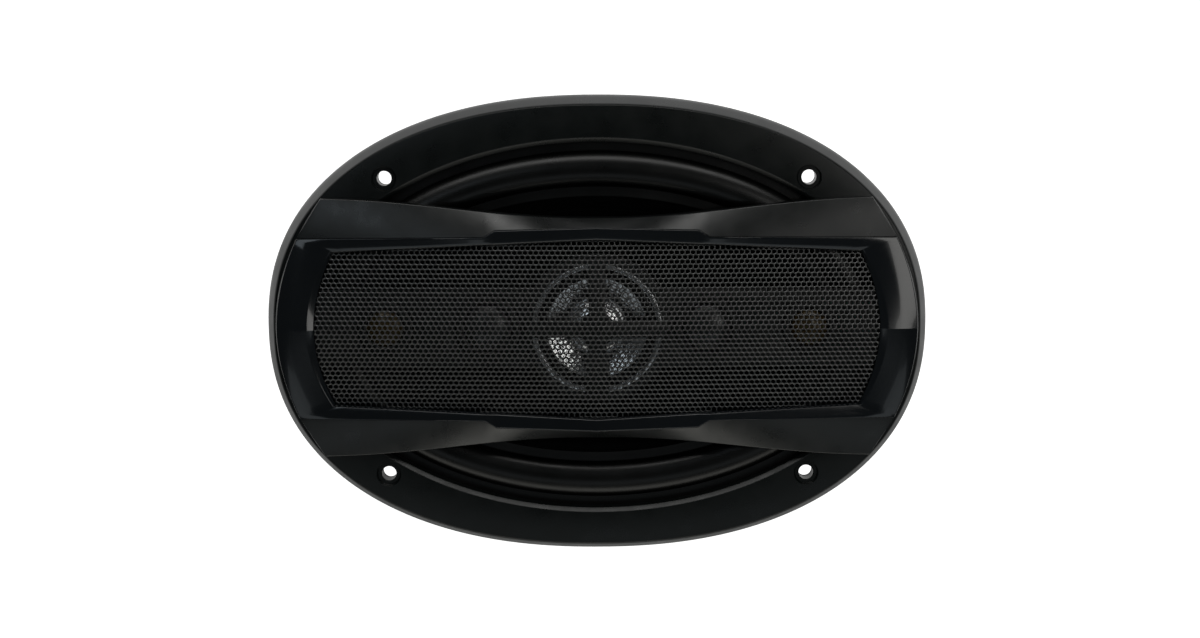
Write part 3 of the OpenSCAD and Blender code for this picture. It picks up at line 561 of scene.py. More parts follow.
def silver_cone():
    """Vacuum-metallised film over a small cone, faintly ringed."""
    made, tree, shader = finish("silver_cone", (0.88, 0.89, 0.9), 0.16, 1.0)
    where = millimetres(tree)
    cloud = noise(tree, where, 2.5, detail=4)
    tint(tree, shader, cloud, (0.82, 0.83, 0.85), (0.92, 0.93, 0.94))
    sheen_off(tree, shader, cloud, 0.13, 0.2)
    bump(tree, shader, rings(tree, distance_from_axis(tree, where), 1.1), 0.02)
    return made


def silk_dome(name, colour, metal):
    """A lacquered dome, with the weave just showing through."""
    made, tree, shader = finish(name, colour, 0.3, metal, Coat_Weight=0.3)
    where = millimetres(tree)
    weave = noise(tree, where, 0.35, detail=3)
    tint(tree, shader, noise(tree, where, 3, detail=4), [0.75 * c for c in colour], colour)
    sheen_off(tree, shader, weave, 0.25, 0.4)
    bump(tree, shader, weave, 0.02)
    return made


def mesh_steel():
    """Glossy black paint on perforated steel."""
    made, tree, shader = finish("mesh_steel", (0.003, 0.003, 0.003), 0.16, Specular_IOR_Level=1.0)
    where = millimetres(tree)
    tint(tree, shader, noise(tree, where, 12, detail=4), (0.002, 0.0021, 0.002), (0.0036, 0.0036, 0.0033))
    sheen_off(tree, shader, noise(tree, where, 2.5, detail=5), 0.12, 0.2)
    bump(tree, shader, noise(tree, where, 0.5, detail=3), 0.01)
    return made


# ---------- shapes ----------

def spow(value, power):
    return np.sign(value) * np.abs(value) ** power


def oval(a, b, z, power=2.0):
    """A level oval of COLUMNS points. Power 2 is a true ellipse."""
    turn = np.linspace(0, 2 * math.pi, COLUMNS, endpoint=False)
    x = a * spow(np.cos(turn), 2 / power)
    y = b * spow(np.sin(turn), 2 / power)
    return np.stack([x, y, np.full(COLUMNS, float(z))], axis=1)


def disc(radius, z):
    return oval(radius, radius, z)


def outline(inset, z):
    """The trim ring's outline, moved in by inset."""
    return oval(HALF_L - inset, HALF_W - inset, z, RING_POWER)


def mix(a, b, t):
    return a + (b - a) * t


def ease(t):
    """0 to 1 with a soft start and end, and no further."""
    t = np.clip(t, 0, 1)
    return t * t * (3 - 2 * t)


def softened(loops, radii, steps=4):
    """The loops of a closed section with each loop, an edge of the piece, rounded by its radius."""
    made = []
    count = len(loops)
    for i, radius in enumerate(radii):
        edge = loops[i]
        if radius == 0:
            made.append(edge)
            continue
        arms = []
        for other in (loops[i - 1], loops[(i + 1) % count]):
            arm = other - edge
            length = np.maximum(np.linalg.norm(arm, axis=1, keepdims=True), 1e-6)
            arms.append(edge + arm * np.minimum(radius / length, 0.45))
        for t in np.linspace(0, 1, steps + 1):
            made.append((1 - t) ** 2 * arms[0] + 2 * t * (1 - t) * edge + t**2 * arms[1])
    return made


def lofted(loops):
    """A closed skin through loops of points: a grid with its rows laid along them, the last on the first."""
    rows = list(loops) + [loops[0]]
    columns = len(rows[0])
    bm = bmesh.new()
    bmesh.ops.create_grid(bm, x_segments=columns, y_segments=len(rows) - 1, size=1)
    points = np.concatenate([np.vstack([row, row[:1]]) for row in rows])
    for vert, point in zip(bm.verts, points):
        vert.co = point
    bmesh.ops.remove_doubles(bm, verts=bm.verts, dist=1e-4)
    bmesh.ops.recalc_face_normals(bm, faces=bm.faces)
    return bm


def turned(profile, place=(0, 0, 0), steps=96):
    """A solid turned round the Z axis from (radius, height) points. Points at radius 0 close at the pole."""
    bm = bmesh.new()
    verts = [bm.verts.new((r, 0, z)) for r, z in profile]
    edges = [bm.edges.new(pair) for pair in zip(verts, verts[1:])]
    if profile[0][0] > 0:
        edges.append(bm.edges.new((verts[-1], verts[0])))
    bmesh.ops.spin(bm, geom=verts + edges, cent=(0, 0, 0), axis=(0, 0, 1), angle=2 * math.pi, steps=steps,
                   use_merge=True)
    bmesh.ops.remove_doubles(bm, verts=bm.verts, dist=1e-4)
    bmesh.ops.recalc_face_normals(bm, faces=bm.faces)
    bmesh.ops.translate(bm, vec=place, verts=bm.verts)
    return bm


def joined(parts):
    """Several bmeshes in one."""
    made = bmesh.new()
    for part in parts:
        mesh = bpy.data.meshes.new("part")
        part.to_mesh(mesh)
        part.free()
        made.from_mesh(mesh)
        bpy.data.meshes.remove(mesh)
    return made


def as_object(name, bm):
    """A scene object with the bmesh as its mesh."""
    mesh = bpy.data.meshes.new(name)
    bm.to_mesh(mesh)
    bm.free()
    made = bpy.data.objects.new(name, mesh)
    bpy.context.scene.collection.objects.link(made)
    return made


def carved(solid, cutter):
    """The solid with the cutter's shapes taken out of it."""
    pair = [as_object("part", bm) for bm in (solid, cutter)]
    cut = pair[0].modifiers.new("cut", "BOOLEAN")
    cut.operation = "DIFFERENCE"
    cut.solver = "EXACT"
    cut.object = pair[1]
    made = bmesh.new()
    made.from_object(pair[0], bpy.context.evaluated_depsgraph_get())
    for part in pair:
        mesh = part.data
        bpy.data.objects.remove(part)
        bpy.data.meshes.remove(mesh)
    return made


def whole(bm):
    return bm.verts[:] + bm.edges[:] + bm.faces[:]


def block(size, centre):
    bm = bmesh.new()
    bmesh.ops.create_cube(bm, size=1)
    bmesh.ops.scale(bm, vec=size, verts=bm.verts)
    bmesh.ops.translate(bm, vec=centre, verts=bm.verts)
    return bm


def rounded(bm, edges, radius, segments):
    bmesh.ops.bevel(bm, geom=edges, offset=radius, offset_type="OFFSET", segments=segments, profile=0.5,
                    affect="EDGES", material=-1, clamp_overlap=True)


def crease_middle(bm):
    """Keeps the edges that lie along the middle plane, y = 0, crisp."""
    for edge in bm.edges:
        if all(abs(vert.co.y) < 1e-3 for vert in edge.verts):
            edge.smooth = False


def loose_piece(name, bm, material, nodes, sharp=32):
    """A mesh object from a bmesh in millimetres, standing for CAD nodes but riding on nothing yet."""
    bmesh.ops.scale(bm, vec=(MM, MM, MM), verts=bm.verts)
    for face in bm.faces:
        face.smooth = True
    for edge in bm.edges:
        if len(edge.link_faces) == 2 and edge.calc_face_angle(0) > math.radians(sharp):
            edge.smooth = False
    piece = as_object(name, bm)
    piece.data.materials.append(material)
    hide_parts(*nodes)
    return piece


def rigid_piece(name, bm, material, body, nodes, sharp=32):
    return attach(loose_piece(name, bm, material, nodes, sharp), body)


def flexing_piece(name, bm, material, nodes, share):
    """A piece between the frame, where a point's share is 0, and a moving body, where it is 1. Each point's
    share is worked out but not used, so the piece doesn't bend.
    """
    piece = loose_piece(name, bm, material, nodes)
    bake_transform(piece)
    weights = [share(vert.co / MM) for vert in piece.data.vertices]
    return piece


def eased_copy(node, bevel, sharp=35):
    """A CAD node's mesh, in millimetres, merged and with its edges rounded by bevel millimetres."""
    bm = bmesh.new()
    bm.from_mesh(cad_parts[node].data)
    bmesh.ops.scale(bm, vec=(1 / MM,) * 3, verts=bm.verts)
    bmesh.ops.remove_doubles(bm, verts=bm.verts, dist=0.002)
    bmesh.ops.dissolve_limit(bm, angle_limit=math.radians(0.5), verts=bm.verts, edges=bm.edges)
    edges = [e for e in bm.edges if e.is_manifold and e.calc_face_angle(0) > math.radians(sharp)]
    rounded(bm, edges, bevel, 2)
    return bm


# ---------- ring, gasket and basket ----------

def hole_cutter(place):
    """A screw hole with a recess for the head, both with a small chamfer."""
    edge = 0.3
    floor_z = RING_FACE - RECESS_DEPTH
    profile = [
        (0, -2), (HOLE_R, -2), (HOLE_R, floor_z - edge), (HOLE_R + edge, floor_z), (RECESS_R - edge, floor_z),
        (RECESS_R, floor_z + edge), (RECESS_R, RING_FACE - edge), (RECESS_R + edge, RING_FACE),
        (RECESS_R + edge, RING_FACE + 2), (0, RING_FACE + 2),
    ]
    return turned(profile, place, steps=48)


def through_cutter(high):
    """Plain round cutters at the four mounting holes, from below the flange up to high."""
    profile = [(0, -2), (HOLE_R, -2), (HOLE_R, high), (0, high)]
    return joined([turned(profile, place, steps=48) for place in HOLE_PLACES])


def add_trim_ring():
    foot_z = 0.5                    # lower edge of the skirt
    seat_a = LANDING_A + 0.5
    seat_b = LANDING_B + 0.5
    seat_z = GLUE_TOP + FIT
    lip_edge = oval(OPEN_A + LIP, OPEN_B + LIP, RING_FACE - 0.1)
    loops = [
        outline(0, foot_z),
        outline(0.12 * FACE_IN, 0.28 * RING_FACE),
        outline(0.83 * FACE_IN, RING_FACE - 1),
        outline(FACE_IN, RING_FACE - CROWN),
        mix(outline(FACE_IN, RING_FACE), lip_edge, 0.55),
        lip_edge,
        oval(OPEN_A, OPEN_B, RING_FACE - LIP_Z),
        oval(OPEN_A, OPEN_B, seat_z),
        oval(seat_a, seat_b, seat_z),
        oval(seat_a, seat_b, FLANGE_TOP),
        outline(SKIRT, FLANGE_TOP),
        outline(SKIRT, foot_z),
    ]
    radii = [0.25, 1.5, 0.3, 0.3, 2.5, 0.3, 0.3, 0.2, 0, 0, 0.1, 0.25]
    holes = joined([hole_cutter(place) for place in HOLE_PLACES])
    ring = carved(lofted(softened(loops, radii)), holes)
    rigid_piece("trim_ring_moulding", ring, ring_plastic(), "frame", ["trim_ring"])


def add_gasket():
    inset = SKIRT + 1.2
    a = WALL_A + STEEL_T + 1.5
    b = WALL_B + STEEL_T + 1.5
    loops = [outline(inset, 0), outline(inset, GASKET_T), oval(a, b, GASKET_T), oval(a, b, 0)]
    gasket = lofted(softened(loops, [0.3, 0, 0, 0.3]))
    gasket = carved(gasket, through_cutter(GASKET_T + 2))
    rigid_piece("foam_gasket", gasket, foam(), "frame", ["mounting_gasket"])


WINDOW_W = 22
WINDOW_LOW = SHELF_Z + 6.3
WINDOW_HIGH = KNEE_Z - 1
WINDOW_R = 4
WINDOW_START = 40                   # distance from the axis
WINDOWS = 10


def window_angle(number):
    """The direction in which a window faces: even steps round the sloping wall at half its height."""
    turn = 2 * math.pi * number / WINDOWS
    return math.atan2(math.sin(turn) * (WALL_B - 6), math.cos(turn) * (WALL_A - 26))


def window_cutter(number):
    """A long block with round edges, pointing outwards through the basket's wall."""
    reach = HALF_L - WINDOW_START
    bm = block((reach, WINDOW_W, WINDOW_HIGH - WINDOW_LOW), (0, 0, 0))
    rounded(bm, [e for e in bm.edges if abs(e.verts[0].co.x - e.verts[1].co.x) > 1], WINDOW_R, 6)
    middle = (WINDOW_START + reach / 2, 0, (WINDOW_HIGH + WINDOW_LOW) / 2)
    bmesh.ops.translate(bm, vec=middle, verts=bm.verts)
    turn = Matrix.Rotation(window_angle(number), 3, "Z")
    bmesh.ops.rotate(bm, cent=(0, 0, 0), matrix=turn, verts=bm.verts)
    return bm


def basket_loops():
    """The pressed shell's section: flange, sloping wall, spider shelf and the well over the motor."""
    loops = [
        outline(SKIRT + FIT, GASKET_T),
        outline(SKIRT + FIT, FLANGE_TOP),
        oval(WALL_A, WALL_B, FLANGE_TOP),
        oval(KNEE_A, KNEE_B, KNEE_Z),
        disc(SHELF_R - STEEL_T, SHELF_Z),
        disc(WELL_R, SHELF_Z),
        disc(WELL_R, SEAT_Z),
        disc(BORE_R, SEAT_Z),
        disc(BORE_R, MOTOR_TOP),
        disc(WELL_R + STEEL_T, MOTOR_TOP),
        disc(WELL_R + STEEL_T, SHELF_Z - STEEL_T),
        disc(SHELF_R, SHELF_Z - STEEL_T),
        oval(KNEE_A + STEEL_T, KNEE_B + STEEL_T, KNEE_Z),
        oval(WALL_A + STEEL_T, WALL_B + STEEL_T, GASKET_T),
    ]
    radii = [0.2, 0.2, 1.2, 2.5, 1.5, 1.2, 1.5, 0.3, 0.3, 1.5, 1.2, 1.5, 2.5, 1.2]
    return softened(loops, radii, steps=5)


def add_basket():
    windows = joined([window_cutter(number) for number in range(WINDOWS)])
    shell = carved(lofted(basket_loops()), windows)
    shell = carved(shell, through_cutter(RING_FACE))
    basket = joined([shell, terminal_tab()])
    rigid_piece("basket_pressing", basket, painted_steel(), "frame", ["basket"])


def terminal_tab():
    """The tongue of the basket that carries the terminal block."""
    low, high = span("terminal_block")
    length = 2.4 - SHELF_R - low.y
    bm = block((high.x - low.x, length, STEEL_T), (0, low.y + length / 2, low.z - STEEL_T / 2))
    rounded(bm, [e for e in bm.edges if is_upright(e) and e.verts[0].co.y < low.y + 1], 2, 5)
    return bm


def is_upright(edge):
    return abs(edge.verts[0].co.z - edge.verts[1].co.z) > 0.5


# ---------- woofer ----------

def roll_oval(out, z):
    """A level oval, out millimetres outside the middle line of the roll."""
    return oval(ROLL_A + out, ROLL_B + out, z)


def roll_face(grow, start, end, steps=20):
    """Loops over the roll, grow outside its middle line, from one angle to another in degrees."""
    made = []
    for turn in np.radians(np.linspace(start, end, steps + 1)):
        z = FLANGE_TOP + RUBBER_T / 2 + (ROLL_H + grow) * math.sin(turn)
        made.append(roll_oval((ROLL_W / 2 + grow) * math.cos(turn), z))
    return made


def add_surround():
    half = RUBBER_T / 2
    start = math.degrees(math.asin(half / (ROLL_H + half)))
    outer = LANDING_A - ROLL_A
    inner = -ROLL_W / 2 - GLUE_W
    edge = 0.3
    loops = [roll_oval(outer, FLANGE_TOP), roll_oval(outer, GLUE_TOP)]
    loops += roll_face(half, start, 180 - start)
    loops += [roll_oval(inner + edge, GLUE_TOP), roll_oval(inner, GLUE_TOP - edge)]
    loops += [roll_oval(inner, FLANGE_TOP)]
    loops += roll_face(-half, 180, 0)
    roll = lofted(loops)
    flexing_piece("rubber_surround", roll, surround_rubber(), ["surround"],
                  surround_share)


def surround_share(point):
    """0 on the basket's side of the roll, 1 on the cone's side."""
    direction = math.atan2(point.y / ROLL_B, point.x / ROLL_A)
    outer = Vector(((ROLL_A + ROLL_W / 2) * math.cos(direction), (ROLL_B + ROLL_W / 2) * math.sin(direction)))
    inner = Vector((RIM_A * math.cos(direction), RIM_B * math.sin(direction)))
    return ease((outer.length - point.xy.length) / (outer - inner).length)


def cone_loop(s, under):
    """One loop down the cone: s is 0 at the rim's flat and 1 at the neck."""
    a = mix(RIM_A - GLUE_W, NECK_R, s)
    b = mix(RIM_B - GLUE_W, NECK_R, s)
    return oval(a, b, FLANGE_TOP - CONE_DEPTH * s - under + cone_ripple(s))


def cone_ripple(s):
    """Shallow rings pressed into the outer part of the cone."""
    fade = max(0.0, 1 - abs(s - 0.16) / 0.16)
    return 0.28 * fade * math.sin(2 * math.pi * s / 0.055)


def add_woofer_cone():
    steps = np.linspace(0, 1, 73)
    edge_a = RIM_A - 0.2
    edge_b = RIM_B - 0.2
    loops = [oval(edge_a, edge_b, FLANGE_TOP - CONE_T), oval(edge_a, edge_b, FLANGE_TOP)]
    loops += [cone_loop(s, 0) for s in steps]
    loops += [cone_loop(s, CONE_T) for s in steps[::-1]]
    rigid_piece("paper_cone", lofted(loops), cone_paper(), "woofer", ["woofer_cone"])


def add_dust_cap():
    base_a = mix(RIM_A - GLUE_W, NECK_R, CAP_S)
    base_b = mix(RIM_B - GLUE_W, NECK_R, CAP_S)
    base_z = FLANGE_TOP - CONE_DEPTH * CAP_S + FIT

    def cap_loop(t, inset):
        out = math.cos(t)
        up = math.sin(t)
        return oval((base_a - inset) * out, (base_b - inset) * out, base_z + (CAP_RISE - inset) * up)

    turns = np.radians(np.linspace(0, 90, 19))
    loops = [cap_loop(t, CAP_T) for t in turns[::-1]] + [cap_loop(t, 0) for t in turns]
    rigid_piece("dust_cap_dome", lofted(loops), cap_paper(), "woofer", ["dust_cap"])


def add_spider():
    """The pleated disc that centres the coil."""
    thick = 0.5
    waves = 5
    wave_h = 1.2
    inner = NECK_R + 2
    outer = WELL_R - 0.4
    middle = SHELF_Z + 0.3
    line = [(NECK_R, middle)]
    for t in np.linspace(0, 1, 16 * waves + 1):
        line.append((mix(inner, outer, t), middle + wave_h * math.sin(2 * math.pi * waves * t)))
    line.append((SPIDER_R, middle))
    profile = [(r, z + thick / 2) for r, z in line] + [(r, z - thick / 2) for r, z in line[::-1]]
    pleats = turned(profile, steps=144)
    flexing_piece("cloth_spider", pleats, spider_cloth(), ["spider"],
                  lambda point: ease((outer - point.xy.length) / (outer - inner)))


LEAD_R = 0.7
LEAD_POINTS = [
    (6, -55.5, -30.2), (6, -55.5, -29), (8, -56, -27), (11, -56.5, -25), (14.5, -55.5, -24), (16.5, -53, -23),
    (17, -49, -22.5), (16.5, -45, -22), (15.5, -41, -21), (14.5, -37, -19), (13.5, -33.5, -16.5),
    (13, -31.5, -15.2),
]


def smooth_path(points, steps):
    """Points on a smooth curve through the given ones."""
    padded = [points[0]] + list(points) + [points[-1]]
    made = []
    for a, b, c, d in zip(padded, padded[1:], padded[2:], padded[3:]):
        for t in np.arange(steps) / steps:
            square = (2 * a - 5 * b + 4 * c - d) * t**2
            cube = (3 * b - a - 3 * c + d) * t**3
            made.append(0.5 * (2 * b + (c - a) * t + square + cube))
    return made + [points[-1]]


def braid_rings(path, sides):
    """Points round a lead, ring by ring, and how far round and along it each is, in strands."""
    run = 0.0
    points = []
    along = []
    for i, point in enumerate(path):
        way = (path[min(i + 1, len(path) - 1)] - path[max(i - 1, 0)]).normalized()
        across = way.cross(Vector((1, 0.2, 0.3))).normalized()
        up = way.cross(across)
        run += (point - path[i - 1]).length if i else 0
        for k in range(sides + 1):
            turn = 2 * math.pi * k / sides
            radius = LEAD_R * (1 + 0.05 * math.cos(6 * turn + 4 * run))
            points.append(point + radius * (math.cos(turn) * across + math.sin(turn) * up))
            along.append((3 * k / sides, run / 0.8))
    return points, along


def add_tinsel_lead(side, name, node):
    """A limp braided lead from a terminal to the back of the cone."""
    path = smooth_path([Vector((side * x, y, z)) for x, y, z in LEAD_POINTS], 5)
    sides = 12
    points, along = braid_rings(path, sides)
    bm = bmesh.new()
    uv = bm.loops.layers.uv.new("along")
    bmesh.ops.create_grid(bm, x_segments=sides, y_segments=len(path) - 1, size=1)
    bm.verts.index_update()
    for face in bm.faces:
        for loop in face.loops:
            loop[uv].uv = along[loop.vert.index]
    for vert, point in zip(bm.verts, points):
        vert.co = point
    bmesh.ops.remove_doubles(bm, verts=bm.verts, dist=1e-4)
    bmesh.ops.holes_fill(bm, edges=[e for e in bm.edges if e.is_boundary], sides=0)
    bmesh.ops.recalc_face_normals(bm, faces=bm.faces)
    start_y = LEAD_POINTS[5][1]
    end_y = LEAD_POINTS[-2][1]
    flexing_piece(name, bm, tinsel(), [node],
                  lambda point: ease((point.y - start_y) / (end_y - start_y)))


# ---------- grille ----------

END_STEPS = 24


def front_y(x):
    """Half-width of the ring's front edge at x."""
    reach = np.abs(x) / (HALF_L - FACE_IN)
    return (HALF_W - FACE_IN) * (1 - reach**RING_POWER) ** (1 / RING_POWER)


def stations(corner_x):
    """Places along a long edge, from the corner at +X to the one at -X, with some in each notch."""
    outer = np.linspace(corner_x, NOTCH_X + NOTCH_RUN / 2, 33)
    notch = np.linspace(NOTCH_X + NOTCH_RUN / 2, NOTCH_X - NOTCH_RUN / 2, 5)
    inner = np.linspace(NOTCH_X - NOTCH_RUN / 2, 0, 25)
    half = np.concatenate([outer, notch[1:], inner[1:]])
    return np.concatenate([half, -half[-2::-1]])


def grille_loop(corner_x, end_x, fy, fz, end_z):
    """A closed edge of the grille: fy and fz give its long edges, and the ends bulge to end_x."""
    xs = stations(corner_x)
    v = 1 - 2 * np.arange(1, END_STEPS) / END_STEPS
    corner = np.array([corner_x])
    corner_y = fy(corner)[0]
    bulge = corner_x + (end_x - corner_x) * (1 - v * v)
    end = np.stack([bulge, corner_y * v, mix(end_z, fz(corner)[0], np.abs(v))], axis=1)
    top = np.stack([xs, fy(xs), fz(xs)], axis=1)
    return np.concatenate([top, end * (-1, 1, 1), top * (-1, -1, 1), end * (1, -1, 1)])


def notch_blend(x):
    return np.clip((np.abs(x) - NOTCH_X) / NOTCH_RUN + 0.5, 0, 1)


def band_y(x):
    return mix(BAND_MID, front_y(np.array([BAND_X]))[0], ease((np.abs(x) / BAND_X - 0.05) / 0.95))


def band_z(x):
    return RING_FACE + mix(BAND_MID_H, BAND_CORNER_H, np.abs(x) / BAND_X)


def trim_y(x):
    crest = mix(TRIM_MID, SHOULDER_Y + NOTCH_STEP, np.abs(x) / NOTCH_X)
    shoulder = mix(SHOULDER_Y, TRIM_CORNER_Y, (np.abs(x) - NOTCH_X) / (TRIM_CORNER_X - NOTCH_X))
    return mix(crest, shoulder, notch_blend(x))


def trim_z(x):
    crest = CREST_H - CREST_FALL * np.abs(x) / NOTCH_X
    shoulder = mix(SHOULDER_H, CORNER_H, (np.abs(x) - NOTCH_X) / (TRIM_CORNER_X - NOTCH_X))
    return RING_FACE + mix(crest, shoulder, notch_blend(x))


def mesh_y(x):
    return mix(MESH_MID, MESH_CORNER_Y, np.abs(x) / MESH_CORNER_X)


def eave_z(x):
    return RING_FACE + mix(EAVE_H, MESH_CORNER_H, np.abs(x) / MESH_CORNER_X)


def ridge_z(x):
    return RING_FACE + mix(RIDGE_H, MESH_END_H, np.abs(x) / MESH_END_X)


def band_loop(inset, height, end_z):
    return grille_loop(BAND_X - inset, BAND_END_X - inset, lambda x: band_y(x) - inset, height, end_z)


def trim_loop(inset, drop, end_z):
    return grille_loop(TRIM_CORNER_X - inset, TRIM_END_X - inset, lambda x: trim_y(x) - inset,
                       lambda x: trim_z(x) - drop, end_z)


def mesh_loop(rise):
    return grille_loop(MESH_CORNER_X, MESH_END_X, mesh_y, lambda x: eave_z(x) + rise,
                       RING_FACE + MESH_END_H + rise)


def add_grille_frame():
    loops = [
        band_loop(0, lambda x: np.full_like(x, RING_FACE - CROWN), RING_FACE - CROWN),
        band_loop(0.2, band_z, RING_FACE + BAND_END_H),
        trim_loop(-FIT, 0.6, RING_FACE + 1.6),
        trim_loop(-FIT, TRIM_DROP, RING_FACE),
    ]
    bm = lofted(softened(loops, [0, 0.4, 0.25, 0]))
    rigid_piece("satin_band", bm, band_plastic(), "frame", ["grille_frame"])


def brow_loop():
    """The inner edge of the trim's top, over the sheet's edge: close along the sides, wide at the ends."""
    return grille_loop(MESH_CORNER_X + BROW_W, MESH_END_X + BROW_END, lambda x: mesh_y(x) + BROW_W,
                       lambda x: trim_z(x) - BROW_FALL, RING_FACE + TRIM_END_H + 1.1)


def crown_loop():
    """A line along the trim's top, raised at the ends so that they round over towards the outside."""
    made = mix(trim_loop(0, 0, RING_FACE + TRIM_END_H), brow_loop(), 0.45)
    past = np.clip((np.abs(made[:, 0]) - MESH_CORNER_X) / (MESH_END_X - MESH_CORNER_X), 0, 1)
    made[:, 2] += 0.25 * past
    return made


def add_grille_trim():
    loops = [
        trim_loop(0, TRIM_DROP, RING_FACE),
        trim_loop(0, 0, RING_FACE + TRIM_END_H),
        crown_loop(),
        brow_loop(),
        mesh_loop(0),
        mesh_loop(-MESH_SINK - MESH_T),
        trim_loop(TRIM_WALL, TRIM_WALL + 0.3, RING_FACE + TRIM_END_H - TRIM_WALL - 0.2),
        trim_loop(TRIM_WALL, TRIM_DROP, RING_FACE),
    ]
    bm = lofted(softened(loops, [0, 0.4, 1.5, 0.25, 0.15, 0, 0, 0]))
    crease_middle(bm)
    rigid_piece("gloss_frame", bm, gloss_trim(), "frame", ["grille_trim"])


HOLE_PITCH = 1.94
ROW_PITCH = HOLE_PITCH * math.sqrt(3) / 2
MESH_HOLE_R = 0.78


def mesh_cell():
    """One six-sided cell of the sheet round an eight-sided hole."""
    bm = bmesh.new()
    bmesh.ops.create_circle(bm, segments=6, radius=HOLE_PITCH / math.sqrt(3))
    bmesh.ops.create_circle(bm, segments=8, radius=MESH_HOLE_R)
    half_side = Matrix.Rotation(math.pi / 8, 3, "Z")
    bmesh.ops.rotate(bm, cent=(0, 0, 0), matrix=half_side, verts=bm.verts[6:])
    bmesh.ops.bridge_loops(bm, edges=bm.edges)
    return bm


def repeated(bm, step, count):
    """Copies the whole bmesh along step until it is there count times. Some of the last may coincide."""
    made = 1
    while made < count:
        more = min(made, count - made)
        copy = bmesh.ops.duplicate(bm, geom=whole(bm))
        verts = [g for g in copy["geom"] if isinstance(g, bmesh.types.BMVert)]
        bmesh.ops.translate(bm, vec=Vector(step) * more, verts=verts)
        made += more
    return bm


def mesh_height(x, y):
    """The perforated sheet's height: a ridge along the middle, falling to the long edges and the ends."""
    x, y = abs(x), abs(y)
    if x <= MESH_CORNER_X:
        return mix(ridge_z(x), eave_z(x), min(y / mesh_y(x), 1))
    v = min(y / MESH_CORNER_Y, 1)
    t = min((x - MESH_CORNER_X) / max((MESH_END_X - MESH_CORNER_X) * (1 - v * v), 0.3), 1)
    start = mix(ridge_z(MESH_CORNER_X), eave_z(MESH_CORNER_X), v)
    return mix(start, RING_FACE + mix(MESH_END_H, MESH_CORNER_H, v), t)


def trimmed(bm, edge):
    """Cuts away what lies outside a convex outline of (x, y) points that runs anticlockwise."""
    for a, b in zip(edge, np.roll(edge, -1, axis=0)):
        way = Vector(b - a)
        if way.length < 1e-3:
            continue
        bmesh.ops.bisect_plane(bm, geom=whole(bm), dist=1e-5, plane_co=(a[0], a[1], 0),
                               plane_no=(way.y, -way.x, 0), clear_outer=True)


def sheet_edge():
    """The sheet's outline, with only the points where it bends."""
    v = 1 - 2 * np.arange(0, 13) / 12
    corner_x = MESH_CORNER_X - FIT
    corner_y = MESH_CORNER_Y - FIT
    end = np.stack([corner_x + (MESH_END_X - FIT - corner_x) * (1 - v * v), corner_y * v], axis=1)
    left = end * (-1, 1)
    right = end[::-1]
    middle = MESH_MID - FIT
    return np.concatenate([[[0, middle]], left, [[0, -middle]], right])


def add_grille_mesh():
    bm = mesh_cell()
    across = 2 * int(MESH_END_X / HOLE_PITCH) + 2
    rows = 2 * int(MESH_MID / ROW_PITCH / 2) + 3
    bm = repeated(bm, (HOLE_PITCH / 2, ROW_PITCH, 0), 2)
    bm = repeated(bm, (0, 2 * ROW_PITCH, 0), rows)
    bm = repeated(bm, (HOLE_PITCH, 0, 0), across)
    low = Vector([min(v.co[i] for v in bm.verts) for i in range(3)])
    high = Vector([max(v.co[i] for v in bm.verts) for i in range(3)])
    bmesh.ops.translate(bm, vec=-(low + high) / 2, verts=bm.verts)
    bmesh.ops.remove_doubles(bm, verts=bm.verts, dist=0.01)
    trimmed(bm, sheet_edge())
    bmesh.ops.bisect_plane(bm, geom=whole(bm), dist=1e-5, plane_co=(0, 0, 0), plane_no=(0, 1, 0))
    for vert in bm.verts:
        vert.co.z = mesh_height(vert.co.x, vert.co.y) - MESH_SINK
    bmesh.ops.recalc_face_normals(bm, faces=bm.faces)
    if sum(face.normal.z for face in bm.faces) < 0:
        bmesh.ops.reverse_faces(bm, faces=bm.faces)
    bmesh.ops.solidify(bm, geom=bm.faces[:], thickness=MESH_T * 0.8)
    rigid_piece("perforated_sheet", bm, mesh_steel(), "frame", ["grille_mesh"], sharp=170)


# ---------- rounded copies of the CAD's metal and moulded pieces ----------

